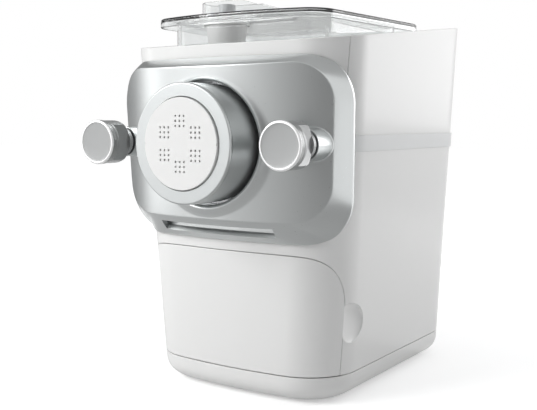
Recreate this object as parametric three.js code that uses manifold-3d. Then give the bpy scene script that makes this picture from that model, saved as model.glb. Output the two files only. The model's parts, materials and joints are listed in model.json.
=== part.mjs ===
import * as THREE from 'three';
import { mergeVertices } from 'three/addons/utils/BufferGeometryUtils.js';
import Module from 'manifold-3d';

// Electric pasta maker: a tapered white housing with a silver front panel, an extrusion head,
// two clamp knobs, a clear mixing chamber under a clear lid, and a drawer below.
// Millimetres. X is to the viewer's right, Y runs from the front face of the cap ring to the
// rear, Z runs up from the floor. The last lines move the middle of the depth to Y = 0.

const wasm = await Module();
wasm.setup();

// Clearances and cutter lengths
const fit = 0.3;
const seamGap = 0.5;
const bowGap = 1.2;
const overrun = 6;
const weldDistance = 0.0001;

// Sides of the round forms, by their size
const fineSides = 40;
const largeSides = 32;
const roundSides = 20;
const smallSides = 12;
const tinySides = 8;
const cornerSteps = 4;
const arcSteps = 8;

// Extrusion head, turned about the axis: radii grow outwards from the bore of the tube
const boreRadius = 26;
const tubeWall = 7;
const tubeRadius = boreRadius + tubeWall;
const headStep = 9;
const headRadius = tubeRadius + headStep;
const ringStep = 5;
const ringRadius = headRadius + ringStep;
const ringDepth = 38;
const ringLip = 4;
const ringChamfer = 1.2;
const discFlangePlay = 0.4;
const discFlangeRadius = headRadius - discFlangePlay;
const discShoulder = 5.85;
const discRadius = discFlangeRadius - discShoulder;
const discProud = 1.8;
const discFlange = 5.7;
const holeSize = 1.7;
const holePitchX = 4.1;
const holePitchZ = 3.8;
const holeCircleInset = 8.5;
const holeCircle = boreRadius - holeCircleInset;
const holeGroups = 6;
const groupSide = 3;
const notchWidth = 2;
const notchDepth = 1.2;
const tubeFlangeWidth = 24.5;
const tubeFlangeRadius = tubeRadius + tubeFlangeWidth;
const tubeFlange = 4;
const gasketThickness = 2.4;

// Hoop round the ring
const hoopGap = 2.5;
const hoopWall = 5.9;
const hoopFlare = 6.6;
const hoopSink = 11;
const hoopBackGap = 8.7;
const hoopInner = ringRadius + hoopGap;
const hoopOuter = hoopInner + hoopWall;
const hoopFoot = hoopOuter + hoopFlare;
const hoopY = ringDepth - hoopSink;
const hoopBackY = ringDepth + hoopBackGap;

// Clamp knobs at either side of the extrusion head
const knobRadius = 18.2;
const knobGap = 9.3;
const knobX = hoopFoot + knobGap + knobRadius;
const knobHollow = 0.8;
const knobRim = 2.2;
const knobBand = 4.6;
const knobGroove = 0.6;
const knobFlatY = 8.5;
const knobFlatInset = 1.8;
const washerThickness = 1.3;
const bossRadius = 12;
const bossLip = 0.4;
const washerInset = 1.5;
const knobNeckRadius = bossRadius - bossLip;
const washerRadius = bossRadius - washerInset;
const boltRadius = 4;
const boltHeadY = 18;
const boltBore = 0.3;

// Silver front panel, its places given from the axis
const faceStep = 0.5;
const panelFaceY = hoopY + faceStep;
const panelBow = 212;
const panelWall = 3;
const knobMargin = 13.2;
const creaseHalfWidth = knobX + knobMargin;
const creaseTopInset = 1.8;
const creaseTop = hoopFoot - creaseTopInset;
const creaseSmile = 2;
const creaseBottomInset = 1;
const creaseBottom = hoopFoot - creaseBottomInset;
const creaseCorner = 30;
const bevelWidth = 10.7;
const bevelTop = 8;
const bevelBottom = 18;
const panelHalfWidth = creaseHalfWidth + bevelWidth;
const panelTop = creaseTop + bevelTop;
const panelBottom = creaseBottom + bevelBottom;
const panelCorner = 38;
const panelRim = 2;
const panelStraightSteps = 4;
const panelCornerSteps = 4;
const gripHalfWidth = 56;
const gripDrop = 5;
const gripHeight = 8;
const gripTop = creaseBottom + gripDrop;
const gripBottom = gripTop + gripHeight;
const gripWall = 2.5;
const knobReach = 4;
const knobLength = panelFaceY + knobReach;
const knobNeckLength = 4;
const knobNeckY = knobLength - knobNeckLength;
const knobTaper = 4.5;
const knobRound = knobNeckY - knobTaper;

// Housing envelope: a bowed plan with round corners that widens and leans forward as it rises
const panelFlare = 18.7;
const rimFlare = 17.3;
const seamHalfWidth = panelHalfWidth - panelFlare;
const rimHalfWidth = seamHalfWidth + rimFlare;
const frontSetback = 15.5;
const frontLean = 15.8;
const rimFront = panelFaceY + frontSetback;
const seamFront = rimFront + frontLean;
const frontBow = 453;
const rearBow = 397.5;
const frontCornerRadius = 46.6;
const rearCornerRadius = 38.2;
const wall = 2.5;
const frontArcSteps = 4;
const frontCornerSteps = 6;
const rearCornerSteps = 4;
const rearArcSteps = 3;

// Front seams: the panel's sides, the upper cover and the drawer, one behind the other
const panelWrap = 22.5;
const panelSideY = rimFront + panelWrap;
const coverReach = 9.5;
const coverSeamY = panelSideY + coverReach;
const coverLap = 15;
const coverDrop = panelBottom - coverLap;
const boltReach = 13;
const boltEndY = coverSeamY + boltReach;
const drawerReach = 14.5;
const drawerEdgeY = coverSeamY + drawerReach;

// Mixing chamber, a straight-sided tub over a half-round trough
const chamberLap = 1;
const chamberLength = 152;
const chamberFrontY = coverSeamY - chamberLap;
const chamberRearY = chamberFrontY + chamberLength;
const chamberSideRoom = 16.7;
const chamberHalfWidth = seamHalfWidth - chamberSideRoom;
const chamberStep = 15.5;
const chamberRadius = chamberHalfWidth - chamberStep;
const chamberWall = 2.5;
const chamberShoulder = 30;
const chamberRise = 33.3;
const chamberTop = panelTop + chamberRise;
const chamberCorner = 26;

// Heights, stacked up from the floor: base, drawer, cradle, chamber, rim
const seamHeight = 23.8;
const drawerHeight = 100.2;
const drawerTopHeight = seamHeight + drawerHeight;
const bayDrop = 4;
const bayTopHeight = drawerTopHeight - bayDrop;
const cradleHeight = 29.5;
const axisHeight = bayTopHeight + cradleHeight + chamberRadius;
const rimMargin = 10.3;
const rimFrontHeight = axisHeight + panelTop + rimMargin;
const rimRise = 30.6;
const rimRearHeight = rimFrontHeight + rimRise;
const deckDrop = 12.5;
const deckHeight = rimFrontHeight - deckDrop;

// Gear train behind the bulkhead
const bulkheadGap = 3.5;
const bulkheadY = chamberRearY + bulkheadGap;
const bulkheadThickness = 2.5;
const gearModule = 2.5;
const motorTeeth = 10;
const largeTeeth = 38;
const smallTeeth = 12;
const outputTeeth = 36;
const gearboxRoom = 8.5;
const gearboxRadius = largeTeeth * gearModule / 2 + gearboxRoom;
const gearboxWall = 2.5;
const gearboxDepth = 30;
const largeGearWidth = 6;
const smallGearWidth = 14;
const axleRadius = 4;
const bearingWall = 6;
const bearingWidth = 6;
const bearingPlay = 0.1;

// Motor and fan
const motorRadius = 36;
const motorLength = 43;
const motorWall = 2.5;
const statorThickness = 9;
const rotorGap = 2.2;
const rotorRadius = motorRadius - motorWall - fit - statorThickness - rotorGap;
const rotorLength = 28;
const motorShaftRadius = 4;
const fanInset = 4;
const fanRadius = motorRadius - fanInset;
const fanWidth = 12;
const fanBlades = 7;
const fanHubRadius = 8;
const fanBladeThickness = 1.5;
const fanBladeAngle = Math.PI / 6;

// The rear wall stands behind the gearbox, the fan and the power inlet.
const socketDepth = 18;
const driveRoom = 21;
const rearLean = 2;
const rimRear = bulkheadY + gearboxDepth + fanWidth + socketDepth + driveRoom;
const seamRear = rimRear + rearLean;

// Base skirt, from the seam down to the floor
const floorGap = 2;
const baseFloor = 3;
const skirtHeightShares = [1, 0.5, 0.16, 0];
const skirtInset = 12;
const skirtInsetShares = [0, 0.08, 0.45, 1];
const footRadius = 9;
const footHeight = 3.2;
const footSideInset = 34.7;
const footX = seamHalfWidth - footSideInset;
const footFrontInset = 10.5;
const footFrontY = drawerEdgeY + footFrontInset;
const footRearInset = 38.5;
const footRearY = rimRear - footRearInset;

// Drawer front and its finger dishes
const drawerCornerLength = 35.5;
const drawerCornerHeight = 48;
const dishRise = 42.2;
const dishHeight = seamHeight + dishRise;
const dishLength = 26.5;
const dishHalfHeight = 18;
const dishDepth = 5.5;

// Rear opening and side bands
const rearOpeningInset = 32.7;
const rearOpeningHalfWidth = seamHalfWidth - rearOpeningInset;
const rearOpeningRise = 32.2;
const rearOpeningBottom = seamHeight + rearOpeningRise;
const rearOpeningLap = 10;
const rearOpeningTop = deckHeight - rearOpeningLap;
const rearOpeningCorner = 8;
const bandHeight = 13;
const bandThickness = 1;
const bandStartGap = 4;
const bandStartY = coverSeamY + bandStartGap;
const bandEndInset = 28.7;
const bandEndX = seamHalfWidth - bandEndInset;

// Lid with its raised inlet, the funnel in it and the cup under it
const lidRim = 7.3;
const lidPlate = 3;
const lidTop = chamberTop + fit + lidPlate;
const lidRimWall = 3;
const lidFrontReach = 20.5;
const lidFrontY = chamberFrontY - lidFrontReach;
const lidRearReach = 5;
const lidRearY = chamberRearY + lidRearReach;
const lidOverhang = 16.5;
const lidHalfWidth = chamberHalfWidth + lidOverhang;
const lidFrontShare = 0.885;
const lidFrontBow = 330;
const lidRearBow = 2400;
const lidFrontCorner = 24;
const lidRearCorner = 14;
const inletX = -7;
const inletSetback = 26;
const inletY = chamberFrontY + inletSetback;
const inletHalfLength = 45;
const inletHalfDepth = 18;
const inletHeight = 13.5;
const inletLowHeight = 1.5;
const inletSlopeX = -4;
const inletWall = 2;
const funnelShift = 22.5;
const funnelX = inletX - funnelShift;
const funnelRadius = 7.4;
const funnelWall = 1.5;
const funnelRise = 12.2;
const funnelTop = lidTop + funnelRise;
const funnelLedge = 2.4;
const funnelFlange = funnelRadius + funnelLedge;
const cupRadius = 18;
const cupFootRadius = 14;
const cupDepth = 31;
const cupRim = 2.6;
const cupRimWidth = 2;
const cupRimRadius = cupRadius + cupRimWidth;
const cupWall = 1.6;

// Paddle, screw and drive shaft on the extrusion axis
const screwCore = 9;
const screwPlay = 1;
const screwRadius = boreRadius - screwPlay;
const screwStartY = 20;
const screwPitch = 24;
const screwFlight = 3;
const screwTurns = 1.9;
const stepsPerTurn = 16;
const hubRadius = 11;
const armRadius = 4.5;
const armPlay = 6;
const armReach = chamberRadius - chamberWall - armPlay;
const armCount = 5;
const armFoot = 16;
const bladeWidth = 11;
const bladeThickness = 5;
const dogFlats = 11;
const dogPlay = 0.4;
const dogDepth = 19;
const shaftRadius = 6;
const sealWall = 3.4;
const sealRadius = shaftRadius + sealWall;
const sealThickness = 3;
const bearingRadius = shaftRadius + bearingWall;

// Drawer bay and drawer
const bayInset = 8.7;
const bayHalfWidth = seamHalfWidth - bayInset;
const bayWall = 2;
const bayMotorGap = 1.5;
const bayRearY = bulkheadY - motorLength - bayMotorGap;
const bayFloorDrop = 1.8;
const bayFloorHeight = seamHeight - bayFloorDrop;
const trayWall = 2;
const trayDrop = 12;
const trayTopHeight = bayTopHeight - trayDrop;
const cradleSideInset = 12.5;
const cradleHalfWidth = chamberRadius - cradleSideInset;
const cradleRib = 4;
const cradleInset = 30;

// Top deck, console and its controls
const deckThickness = 3;
const deckPlay = 3.5;
const deckOpeningHalfWidth = chamberHalfWidth + deckPlay;
const consoleGap = 1;
const consoleFrontY = bulkheadY + bulkheadThickness + consoleGap;
const consoleDrop = 1.5;
const consolePlate = 3;
const panelPlateLength = 52;
const panelPlateThickness = 2;
const panelPlateCorner = 5;
const ledge = 4;
const windowHalfWidth = 26;
const windowHalfHeight = 11;
const windowThickness = 1.2;
const buttonRadius = 6;
const buttonProud = 0.8;
const buttonSkirt = 1.2;
const buttonLength = 5.5;
const buttonGap = 2;
const powerGap = 3.7;
const windowGap = 2.3;
const plateMargin = 8;
const boardDrop = 9;
const boardThickness = 1.6;

const { Vector2, Vector3, Shape } = THREE;
const quarterTurn = Math.PI / 2;
const fullTurn = 2 * Math.PI;
const mix = (a, b, share) => a + (b - a) * share;
const middle = (range) => (range[0] + range[1]) / 2;

// A closed triangle mesh becomes a solid with its faces outwards.
function toSolid(geometry) {
  const bare = new THREE.BufferGeometry();
  bare.setAttribute('position', geometry.getAttribute('position'));
  bare.setIndex(geometry.index);
  const merged = mergeVertices(bare, weldDistance);
  const points = merged.getAttribute('position').array;
  const corners = merged.index.array;
  const kept = [];
  let volume = 0;
  const a = new Vector3();
  const b = new Vector3();
  const c = new Vector3();
  for (let i = 0; i < corners.length; i += 3) {
    const [p, q, r] = [corners[i], corners[i + 1], corners[i + 2]];
    if (p === q || q === r || r === p) continue;
    kept.push(p, q, r);
    a.fromArray(points, p * 3);
    b.fromArray(points, q * 3);
    c.fromArray(points, r * 3);
    volume += a.dot(b.cross(c));
  }
  if (volume < 0) kept.reverse();
  return new wasm.Manifold(
    new wasm.Mesh({ numProp: 3, vertProperties: points, triVerts: Uint32Array.from(kept) })
  );
}

const cut = (solid, ...tools) => tools.reduce((rest, tool) => rest.subtract(tool), solid);
const join = (solid, ...others) => others.reduce((sum, other) => sum.add(other), solid);
const common = (solid, ...others) => others.reduce((rest, other) => rest.intersect(other), solid);

// Basic forms, each given by its ranges
function block(x, y, z) {
  const box = new THREE.BoxGeometry(x[1] - x[0], y[1] - y[0], z[1] - z[0]);
  return toSolid(box.translate(middle(x), middle(y), middle(z)));
}

function rodY(radius, y, x, z, sides = roundSides, farRadius = radius) {
  const rod = new THREE.CylinderGeometry(farRadius, radius, y[1] - y[0], sides);
  return toSolid(rod.translate(x, middle(y), z));
}

function rodZ(radius, z, x, y, sides = roundSides, topRadius = radius) {
  const rod = new THREE.CylinderGeometry(topRadius, radius, z[1] - z[0], sides);
  return toSolid(rod.rotateX(quarterTurn).translate(x, y, middle(z)));
}

const profile = (points) => points.map(([radius, along]) => new Vector2(radius, along));

function turnedY(points, x, z, sides = largeSides) {
  return toSolid(new THREE.LatheGeometry(profile(points), sides).translate(x, 0, z));
}

function turnedZ(points, x, y, sides = roundSides) {
  const body = new THREE.LatheGeometry(profile(points), sides).rotateX(quarterTurn);
  return toSolid(body.translate(x, y, 0));
}

function slabZ(shape, z, curveSegments = cornerSteps) {
  const options = { depth: z[1] - z[0], bevelEnabled: false, curveSegments };
  return toSolid(new THREE.ExtrudeGeometry(shape, options).translate(0, 0, z[0]));
}

// The shape is drawn in X and Z.
function slabY(shape, y, curveSegments = cornerSteps) {
  const options = { depth: y[1] - y[0], bevelEnabled: false, curveSegments };
  const slab = new THREE.ExtrudeGeometry(shape, options).rotateX(quarterTurn);
  return toSolid(slab.translate(0, y[1], 0));
}

// The shape is drawn in Y and Z.
function slabX(shape, x, curveSegments = cornerSteps) {
  const options = { depth: x[1] - x[0], bevelEnabled: false, curveSegments };
  const basis = new THREE.Matrix4().makeBasis(
    new Vector3(0, 1, 0), new Vector3(0, 0, 1), new Vector3(1, 0, 0)
  );
  const slab = new THREE.ExtrudeGeometry(shape, options).applyMatrix4(basis);
  return toSolid(slab.translate(x[0], 0, 0));
}

const polygon = (points) => new Shape(points.map(([x, y]) => new Vector2(x, y)));

function roundedRect(x, y, radius) {
  const shape = new Shape();
  shape.absarc(x[1] - radius, y[0] + radius, radius, -quarterTurn, 0);
  shape.absarc(x[1] - radius, y[1] - radius, radius, 0, quarterTurn);
  shape.absarc(x[0] + radius, y[1] - radius, radius, quarterTurn, 2 * quarterTurn);
  shape.absarc(x[0] + radius, y[0] + radius, radius, 2 * quarterTurn, 3 * quarterTurn);
  shape.closePath();
  return shape;
}

function ellipsoid(radii, centre) {
  const ball = new THREE.SphereGeometry(1, roundSides, smallSides).scale(...radii);
  return toSolid(ball.translate(...centre));
}

// Rings of equal count are joined into one closed solid, capped at both ends.
function loft(rings, flatten = (p) => new Vector2(p.x, p.y), capFaces = null) {
  const count = rings[0].length;
  const outline = rings[0].map(flatten);
  const faces = capFaces ?? THREE.ShapeUtils.triangulateShape(outline, []);
  const turn = (p, q, r) => (q.x - p.x) * (r.y - p.y) - (q.y - p.y) * (r.x - p.x);
  const sameWay = faces.reduce((sum, [p, q, r]) => sum + turn(outline[p], outline[q], outline[r]), 0)
    * THREE.ShapeUtils.area(outline) > 0;
  const index = [];
  for (const face of faces) {
    const [p, q, r] = sameWay ? face : [face[0], face[2], face[1]];
    const last = (rings.length - 1) * count;
    index.push(r, q, p, last + p, last + q, last + r);
  }
  for (let ring = 0; ring + 1 < rings.length; ring++) {
    for (let i = 0; i < count; i++) {
      const [a, b] = [ring * count + i, ring * count + ((i + 1) % count)];
      index.push(a, b, b + count, a, b + count, a + count);
    }
  }
  const geometry = new THREE.BufferGeometry().setFromPoints(rings.flat());
  geometry.setIndex(index);
  return toSolid(geometry);
}

// Plan outline of a bowed box with round corners, from the front centre round to the right
function outline(box) {
  const { halfWidth, front, rear, frontBow, rearBow, frontCorner, rearCorner } = box;
  const frontX = halfWidth - frontCorner;
  const frontY = front + frontBow - Math.sqrt((frontBow - frontCorner) ** 2 - frontX ** 2);
  const frontAngle = Math.atan2(frontX, front + frontBow - frontY);
  const rearX = halfWidth - rearCorner;
  const rearY = rear - rearBow + Math.sqrt((rearBow - rearCorner) ** 2 - rearX ** 2);
  const rearAngle = Math.atan2(rearX, rearY - rear + rearBow);
  const half = [];
  const arc = (x, y, radius, from, to, steps) => {
    for (let i = 0; i < steps; i++) {
      const angle = mix(from, to, i / steps);
      half.push([x + radius * Math.sin(angle), y - radius * Math.cos(angle)]);
    }
  };
  arc(0, front + frontBow, frontBow, 0, frontAngle, frontArcSteps);
  arc(frontX, frontY, frontCorner, frontAngle, quarterTurn, frontCornerSteps);
  half.push([halfWidth, frontY]);
  arc(rearX, rearY, rearCorner, quarterTurn, Math.PI - rearAngle, rearCornerSteps);
  arc(0, rear - rearBow, rearBow, Math.PI - rearAngle, Math.PI, rearArcSteps);
  const left = half.slice(1).reverse().map(([x, y]) => [-x, y]);
  return [...half, [0, rear], ...left];
}

const riseAt = (height) => (height - seamHeight) / (rimRearHeight - seamHeight);
const halfWidthAt = (height) => mix(seamHalfWidth, rimHalfWidth, riseAt(height));
const frontAt = (height) => mix(seamFront, rimFront, riseAt(height));
const rearAt = (height) => mix(seamRear, rimRear, riseAt(height));

const bodyPlan = (height, inset) => outline({
  halfWidth: halfWidthAt(height) - inset,
  front: frontAt(height) + inset,
  rear: rearAt(height) - inset,
  frontBow: frontBow - inset,
  rearBow: rearBow - inset,
  frontCorner: frontCornerRadius - inset,
  rearCorner: rearCornerRadius - inset
});

const bodyRing = (height, inset) => bodyPlan(height, inset).map(([x, y]) => new Vector3(x, y, height));

// A slice of the envelope: every slice is cut from one loft, so faces line up from piece to piece.
function bodySolid(bottom, top, inset) {
  const side = halfWidthAt(rimRearHeight) + 2 * overrun;
  const whole = loft([
    bodyRing(seamHeight - 2 * overrun, inset), bodyRing(rimRearHeight + 2 * overrun, inset)
  ]);
  return common(whole, block([-side, side], [0, rearAt(seamHeight) + 2 * overrun], [bottom, top]));
}

// Depth of the housing's front surface at a place across and up
function frontSurfaceY(x, height) {
  const halfWidth = halfWidthAt(height);
  const front = frontAt(height);
  const cornerX = halfWidth - frontCornerRadius;
  const cornerY = front + frontBow - Math.sqrt((frontBow - frontCornerRadius) ** 2 - cornerX ** 2);
  const splitX = frontBow * Math.sin(Math.atan2(cornerX, front + frontBow - cornerY));
  const across = Math.abs(x);
  if (across <= splitX) return front + frontBow - Math.sqrt(frontBow ** 2 - across ** 2);
  const offset = Math.min(across - cornerX, frontCornerRadius);
  return cornerY - Math.sqrt(frontCornerRadius ** 2 - offset ** 2);
}

const rimSlope = (rimRearHeight - rimFrontHeight) / (rimRear - rimFront);
const rimAngle = Math.atan(rimSlope);
const rimAt = (y) => rimFrontHeight + rimSlope * (y - rimFront);
const farSide = rimHalfWidth + overrun;
const farRear = rimRear + overrun;

// Everything above the sloping rim plane, lowered by a drop
function aboveRim(drop) {
  const high = rimRearHeight + overrun;
  const shape = polygon([
    [0, rimAt(0) - drop], [farRear, rimAt(farRear) - drop], [farRear, high], [0, high]
  ]);
  return slabX(shape, [-farSide, farSide]);
}

const shellWall = (bottom) => cut(
  bodySolid(bottom, rimRearHeight, 0),
  bodySolid(bottom - overrun, rimRearHeight + overrun, wall)
);

// The drawer front's outline seen from the side: its rear top corner is part of an ellipse
function drawerZone(gap, bottom) {
  const centreY = drawerEdgeY - drawerCornerLength;
  const centreZ = drawerTopHeight - drawerCornerHeight;
  const shape = new Shape();
  shape.moveTo(0, bottom);
  shape.lineTo(drawerEdgeY - gap, bottom);
  shape.absellipse(
    centreY, centreZ, drawerCornerLength - gap, drawerCornerHeight - gap, 0, quarterTurn
  );
  shape.lineTo(0, drawerTopHeight - gap);
  shape.closePath();
  return slabX(shape, [-farSide, farSide]);
}

const dishX = halfWidthAt(dishHeight);
const dish = (side, extra) => ellipsoid(
  [dishDepth + extra, dishLength + extra, dishHalfHeight + extra],
  [side * dishX, drawerEdgeY, dishHeight]
);

const coverBottomHeight = axisHeight - coverDrop;

function rearOpening(gap, y) {
  const x = rearOpeningHalfWidth - gap;
  const shape = roundedRect([-x, x], [rearOpeningBottom + gap, rearOpeningTop - gap], rearOpeningCorner);
  return slabY(shape, y);
}

function mainHousing() {
  const behindEdge = block([-farSide, farSide], [drawerEdgeY, farRear], [0, rimRearHeight]);
  const padLimit = common(bodySolid(seamHeight + fit, drawerTopHeight, wall - fit), behindEdge);
  const pads = [-1, 1].map((side) => common(dish(side, wall), padLimit));
  const shell = join(shellWall(seamHeight + fit), ...pads);
  const coverZone = block(
    [-farSide, farSide], [0, coverSeamY], [coverBottomHeight, rimRearHeight + overrun]
  );
  const rear = rearOpening(0, [rimRear - rearOpeningHalfWidth, seamRear + overrun]);
  return cut(shell, aboveRim(0), coverZone, drawerZone(0, 0), rear, dish(-1, 0), dish(1, 0));
}

// The base tray: a skirt that rounds in under the body, with seats for four feet
const skirtTop = seamHeight - fit;
const baseTop = floorGap + baseFloor;

function baseSkirt() {
  const level = (share) => mix(floorGap, skirtTop, share);
  const rings = skirtHeightShares.map((share, i) => bodyRing(level(share), skirtInset * skirtInsetShares[i]));
  const outside = loft(rings);
  const inside = loft([
    bodyRing(baseTop, skirtInset), bodyRing(mix(baseTop, skirtTop, skirtHeightShares[1]), wall),
    bodyRing(skirtTop + overrun, wall)
  ]);
  const seatHeight = [0, footHeight + fit];
  const seats = footPlaces.map(([, x, y]) => rodZ(footRadius + fit, seatHeight, x, y, smallSides));
  return cut(outside, inside, ...seats);
}

const footPlaces = [
  ['foot_front_left', -footX, footFrontY], ['foot_front_right', footX, footFrontY],
  ['foot_rear_left', -footX, footRearY], ['foot_rear_right', footX, footRearY]
];

const foot = () => rodZ(footRadius - fit, [0, footHeight], 0, 0, smallSides, footRadius);

// The upper front cover carries the stepped socket that seats the extrusion tube.
const flangeFrontY = hoopBackY + fit;
const flangeBackY = flangeFrontY + tubeFlange;
const socketFloorY = flangeBackY + gasketThickness + 2 * fit;
const socketBore = tubeRadius + fit + boltBore;
const socketWall = 3;
const recessRadius = tubeFlangeRadius + seamGap;

function frontCover() {
  const skin = common(
    shellWall(coverBottomHeight + fit),
    block([-farSide, farSide], [0, coverSeamY - seamGap], [0, rimRearHeight + overrun])
  );
  const socketY = chamberFrontY - fit;
  const outerRadius = recessRadius + wall;
  const socket = turnedY([
    [recessRadius, hoopY], [outerRadius, hoopY], [outerRadius, socketFloorY + wall],
    [socketBore + socketWall, socketFloorY + wall], [socketBore + socketWall, socketY],
    [socketBore, socketY], [socketBore, socketFloorY], [recessRadius, socketFloorY],
    [recessRadius, hoopY]
  ], 0, axisHeight);
  const behindSkin = bodySolid(coverBottomHeight + fit, rimRearHeight, fit);
  const bore = rodY(recessRadius, [0, socketFloorY], 0, axisHeight, largeSides);
  const boltHoles = [-1, 1].map((side) =>
    rodY(boltRadius + seamGap, [0, chamberFrontY], side * knobX, axisHeight, tinySides));
  return cut(join(skin, common(socket, behindSkin)), aboveRim(0), bore, ...boltHoles);
}

// Side bands: thin strips round the rear corners
function sideBand(side) {
  const bottom = axisHeight - bandHeight / 2;
  const top = axisHeight + bandHeight / 2;
  const ring = cut(
    bodySolid(bottom, top, -fit - bandThickness),
    bodySolid(bottom - overrun, top + overrun, -fit)
  );
  const near = side * bandEndX;
  const far = side * (farSide + overrun);
  const x = [Math.min(near, far), Math.max(near, far)];
  return common(ring, block(x, [bandStartY, farRear + overrun], [0, rimRearHeight]));
}

// Rear cover with cooling slots and the opening for the power inlet
const ventCount = 8;
const ventPitch = 8;
const ventHeight = 3;
const ventInset = 20;
const ventHalfWidth = rearOpeningHalfWidth - ventInset;
const inletHalfWidth = 15;
const inletHalfHeight = 12;
const inletRise = 22;
const inletHeightZ = rearOpeningBottom + inletRise;
const ventRise = 26;
const ventBottom = inletHeightZ + ventRise;
const socketWallY = 3;
const socketFlange = 3;
const bladeHalf = 1;
const bladeHalfHeight = 2.2;
const bladeSpacing = 7;
const bladeLength = 8;

function rearCover() {
  const skin = common(shellWall(seamHeight), rearOpening(seamGap, [rimRear - wall * overrun, farRear]));
  const reach = [rimRear - wall * overrun, farRear];
  const slots = Array.from({ length: ventCount }, (_, i) => {
    const z = ventBottom + i * ventPitch;
    return block([-ventHalfWidth, ventHalfWidth], reach, [z, z + ventHeight]);
  });
  const socket = block(
    [-inletHalfWidth, inletHalfWidth], reach,
    [inletHeightZ - inletHalfHeight, inletHeightZ + inletHalfHeight]
  );
  return cut(skin, ...slots, socket);
}

function powerInlet() {
  const outerY = rearAt(inletHeightZ) - seamGap;
  const flangeY = outerY - wall - seamGap;
  const x = inletHalfWidth - fit;
  const z = inletHalfHeight - fit;
  const centre = (half, inset) => [inletHeightZ - half + inset, inletHeightZ + half - inset];
  const floorY = outerY - socketDepth + socketWallY;
  const body = block([-x, x], [outerY - socketDepth, outerY], centre(z, 0));
  const flange = block(
    [-x - socketFlange, x + socketFlange], [flangeY - socketFlange, flangeY], centre(z + socketFlange, 0)
  );
  const hollow = block([socketWallY - x, x - socketWallY], [floorY, farRear], centre(z, socketWallY));
  const blade = (xc, zc) => block(
    [xc - bladeHalf, xc + bladeHalf], [floorY - fit, floorY + bladeLength],
    [zc - bladeHalfHeight, zc + bladeHalfHeight]
  );
  const low = inletHeightZ - bladeHalfHeight;
  const high = inletHeightZ + bladeHalfHeight;
  return join(
    cut(join(body, flange), hollow), blade(-bladeSpacing, low), blade(bladeSpacing, low), blade(0, high)
  );
}

// Silver front panel: a bowed face inside a wide bevel, hollow behind
const panelLean = (height) => frontAt(height) - frontAt(axisHeight);
const panelSpreadShare = 0.5;
const panelSpread = (height) =>
  mix(1, halfWidthAt(height) / halfWidthAt(axisHeight), panelSpreadShare);
const faceY = (x, height) =>
  panelFaceY + panelLean(height) + panelBow - Math.sqrt(panelBow ** 2 - x ** 2);

function panelRing(halfWidth, topAt, bottom, corner, depthAt) {
  const columns = [];
  for (let i = -panelCornerSteps; i < 0; i++) {
    const angle = quarterTurn * (1 + i / panelCornerSteps);
    columns.push([-halfWidth + corner - corner * Math.cos(angle), corner - corner * Math.sin(angle)]);
  }
  const flat = halfWidth - corner;
  for (let i = 0; i <= 2 * panelStraightSteps; i++) {
    columns.push([mix(-flat, flat, i / (2 * panelStraightSteps)), 0]);
  }
  for (let i = 1; i <= panelCornerSteps; i++) {
    const angle = quarterTurn * (1 - i / panelCornerSteps);
    columns.push([halfWidth - corner + corner * Math.cos(angle), corner - corner * Math.sin(angle)]);
  }
  const point = (x, height) => {
    const across = x * panelSpread(height);
    return new Vector3(across, depthAt(across, height), height);
  };
  const low = columns.map(([x, rise]) => point(x, axisHeight - bottom + rise));
  const high = columns.map(([x, rise]) => point(x, axisHeight + topAt(x) - rise));
  return [...low, ...high.reverse()];
}

function stripFaces(columns) {
  const faces = [];
  for (let i = 0; i + 1 < columns; i++) {
    const top = 2 * columns - 1 - i;
    faces.push([i, i + 1, top - 1], [i, top - 1, top]);
  }
  return faces;
}

function frontPanel() {
  const rimY = (x, height) =>
    Math.min(frontSurfaceY(x, height) - bowGap - panelRim, panelSideY + panelLean(height));
  const smile = (x) => creaseTop + creaseSmile * (x / knobX) ** 2;
  const flatTop = (inset) => () => panelTop - inset;
  const outer = (depth, inset) => panelRing(
    panelHalfWidth - inset, flatTop(inset), panelBottom - inset, panelCorner - inset, depth
  );
  const rings = [
    panelRing(creaseHalfWidth, smile, creaseBottom, creaseCorner, faceY),
    outer(rimY, 0),
    outer((x, height) => rimY(x, height) + panelRim, 0),
    outer((x, height) => rimY(x, height) + panelRim, panelWall),
    panelRing(
      creaseHalfWidth - panelWall, (x) => smile(x) - panelWall, creaseBottom - panelWall,
      creaseCorner - panelWall, (x, height) => faceY(x, height) + panelWall
    )
  ];
  const columns = 2 * (panelStraightSteps + panelCornerSteps) + 1;
  const plate = loft(rings, (p) => new Vector2(p.x, p.z), stripFaces(columns));
  const hoop = turnedY([
    [hoopInner, hoopY + ringChamfer], [hoopInner + ringChamfer, hoopY], [hoopOuter - ringChamfer, hoopY],
    [hoopOuter, hoopY + ringChamfer], [hoopFoot, panelFaceY + overrun + panelWall],
    [hoopOuter, panelFaceY + overrun + 2 * panelWall], [hoopOuter, hoopBackY], [hoopInner, hoopBackY],
    [hoopInner, hoopY + ringChamfer]
  ], 0, axisHeight);
  const bosses = [-1, 1].map((side) => rodY(
    bossRadius, [bossFrontY, faceY(knobX, axisHeight) + panelWall + gripWall], side * knobX, axisHeight
  ));
  const boltHoles = [-1, 1].map((side) =>
    rodY(boltRadius + boltBore, [0, boltEndY], side * knobX, axisHeight, smallSides));
  const gripBack = (gap) => (x) => frontSurfaceY(x, axisHeight - gripBottom) - gap;
  const gripBacking = bowedBar(
    gripHalfWidth + gripWall, gripBack(seamGap + gripWall + fit), gripBack(seamGap + fit),
    axisHeight - gripBottom - gripWall, axisHeight - gripTop + gripWall
  );
  const gripCut = bowedBar(
    gripHalfWidth, () => 0, gripBack(seamGap + gripWall + fit), axisHeight - gripBottom, axisHeight - gripTop
  );
  const opening = rodY(hoopInner, [0, hoopBackY], 0, axisHeight, largeSides);
  return cut(join(plate, hoop, ...bosses, gripBacking), opening, gripCut, ...boltHoles);
}

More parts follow.
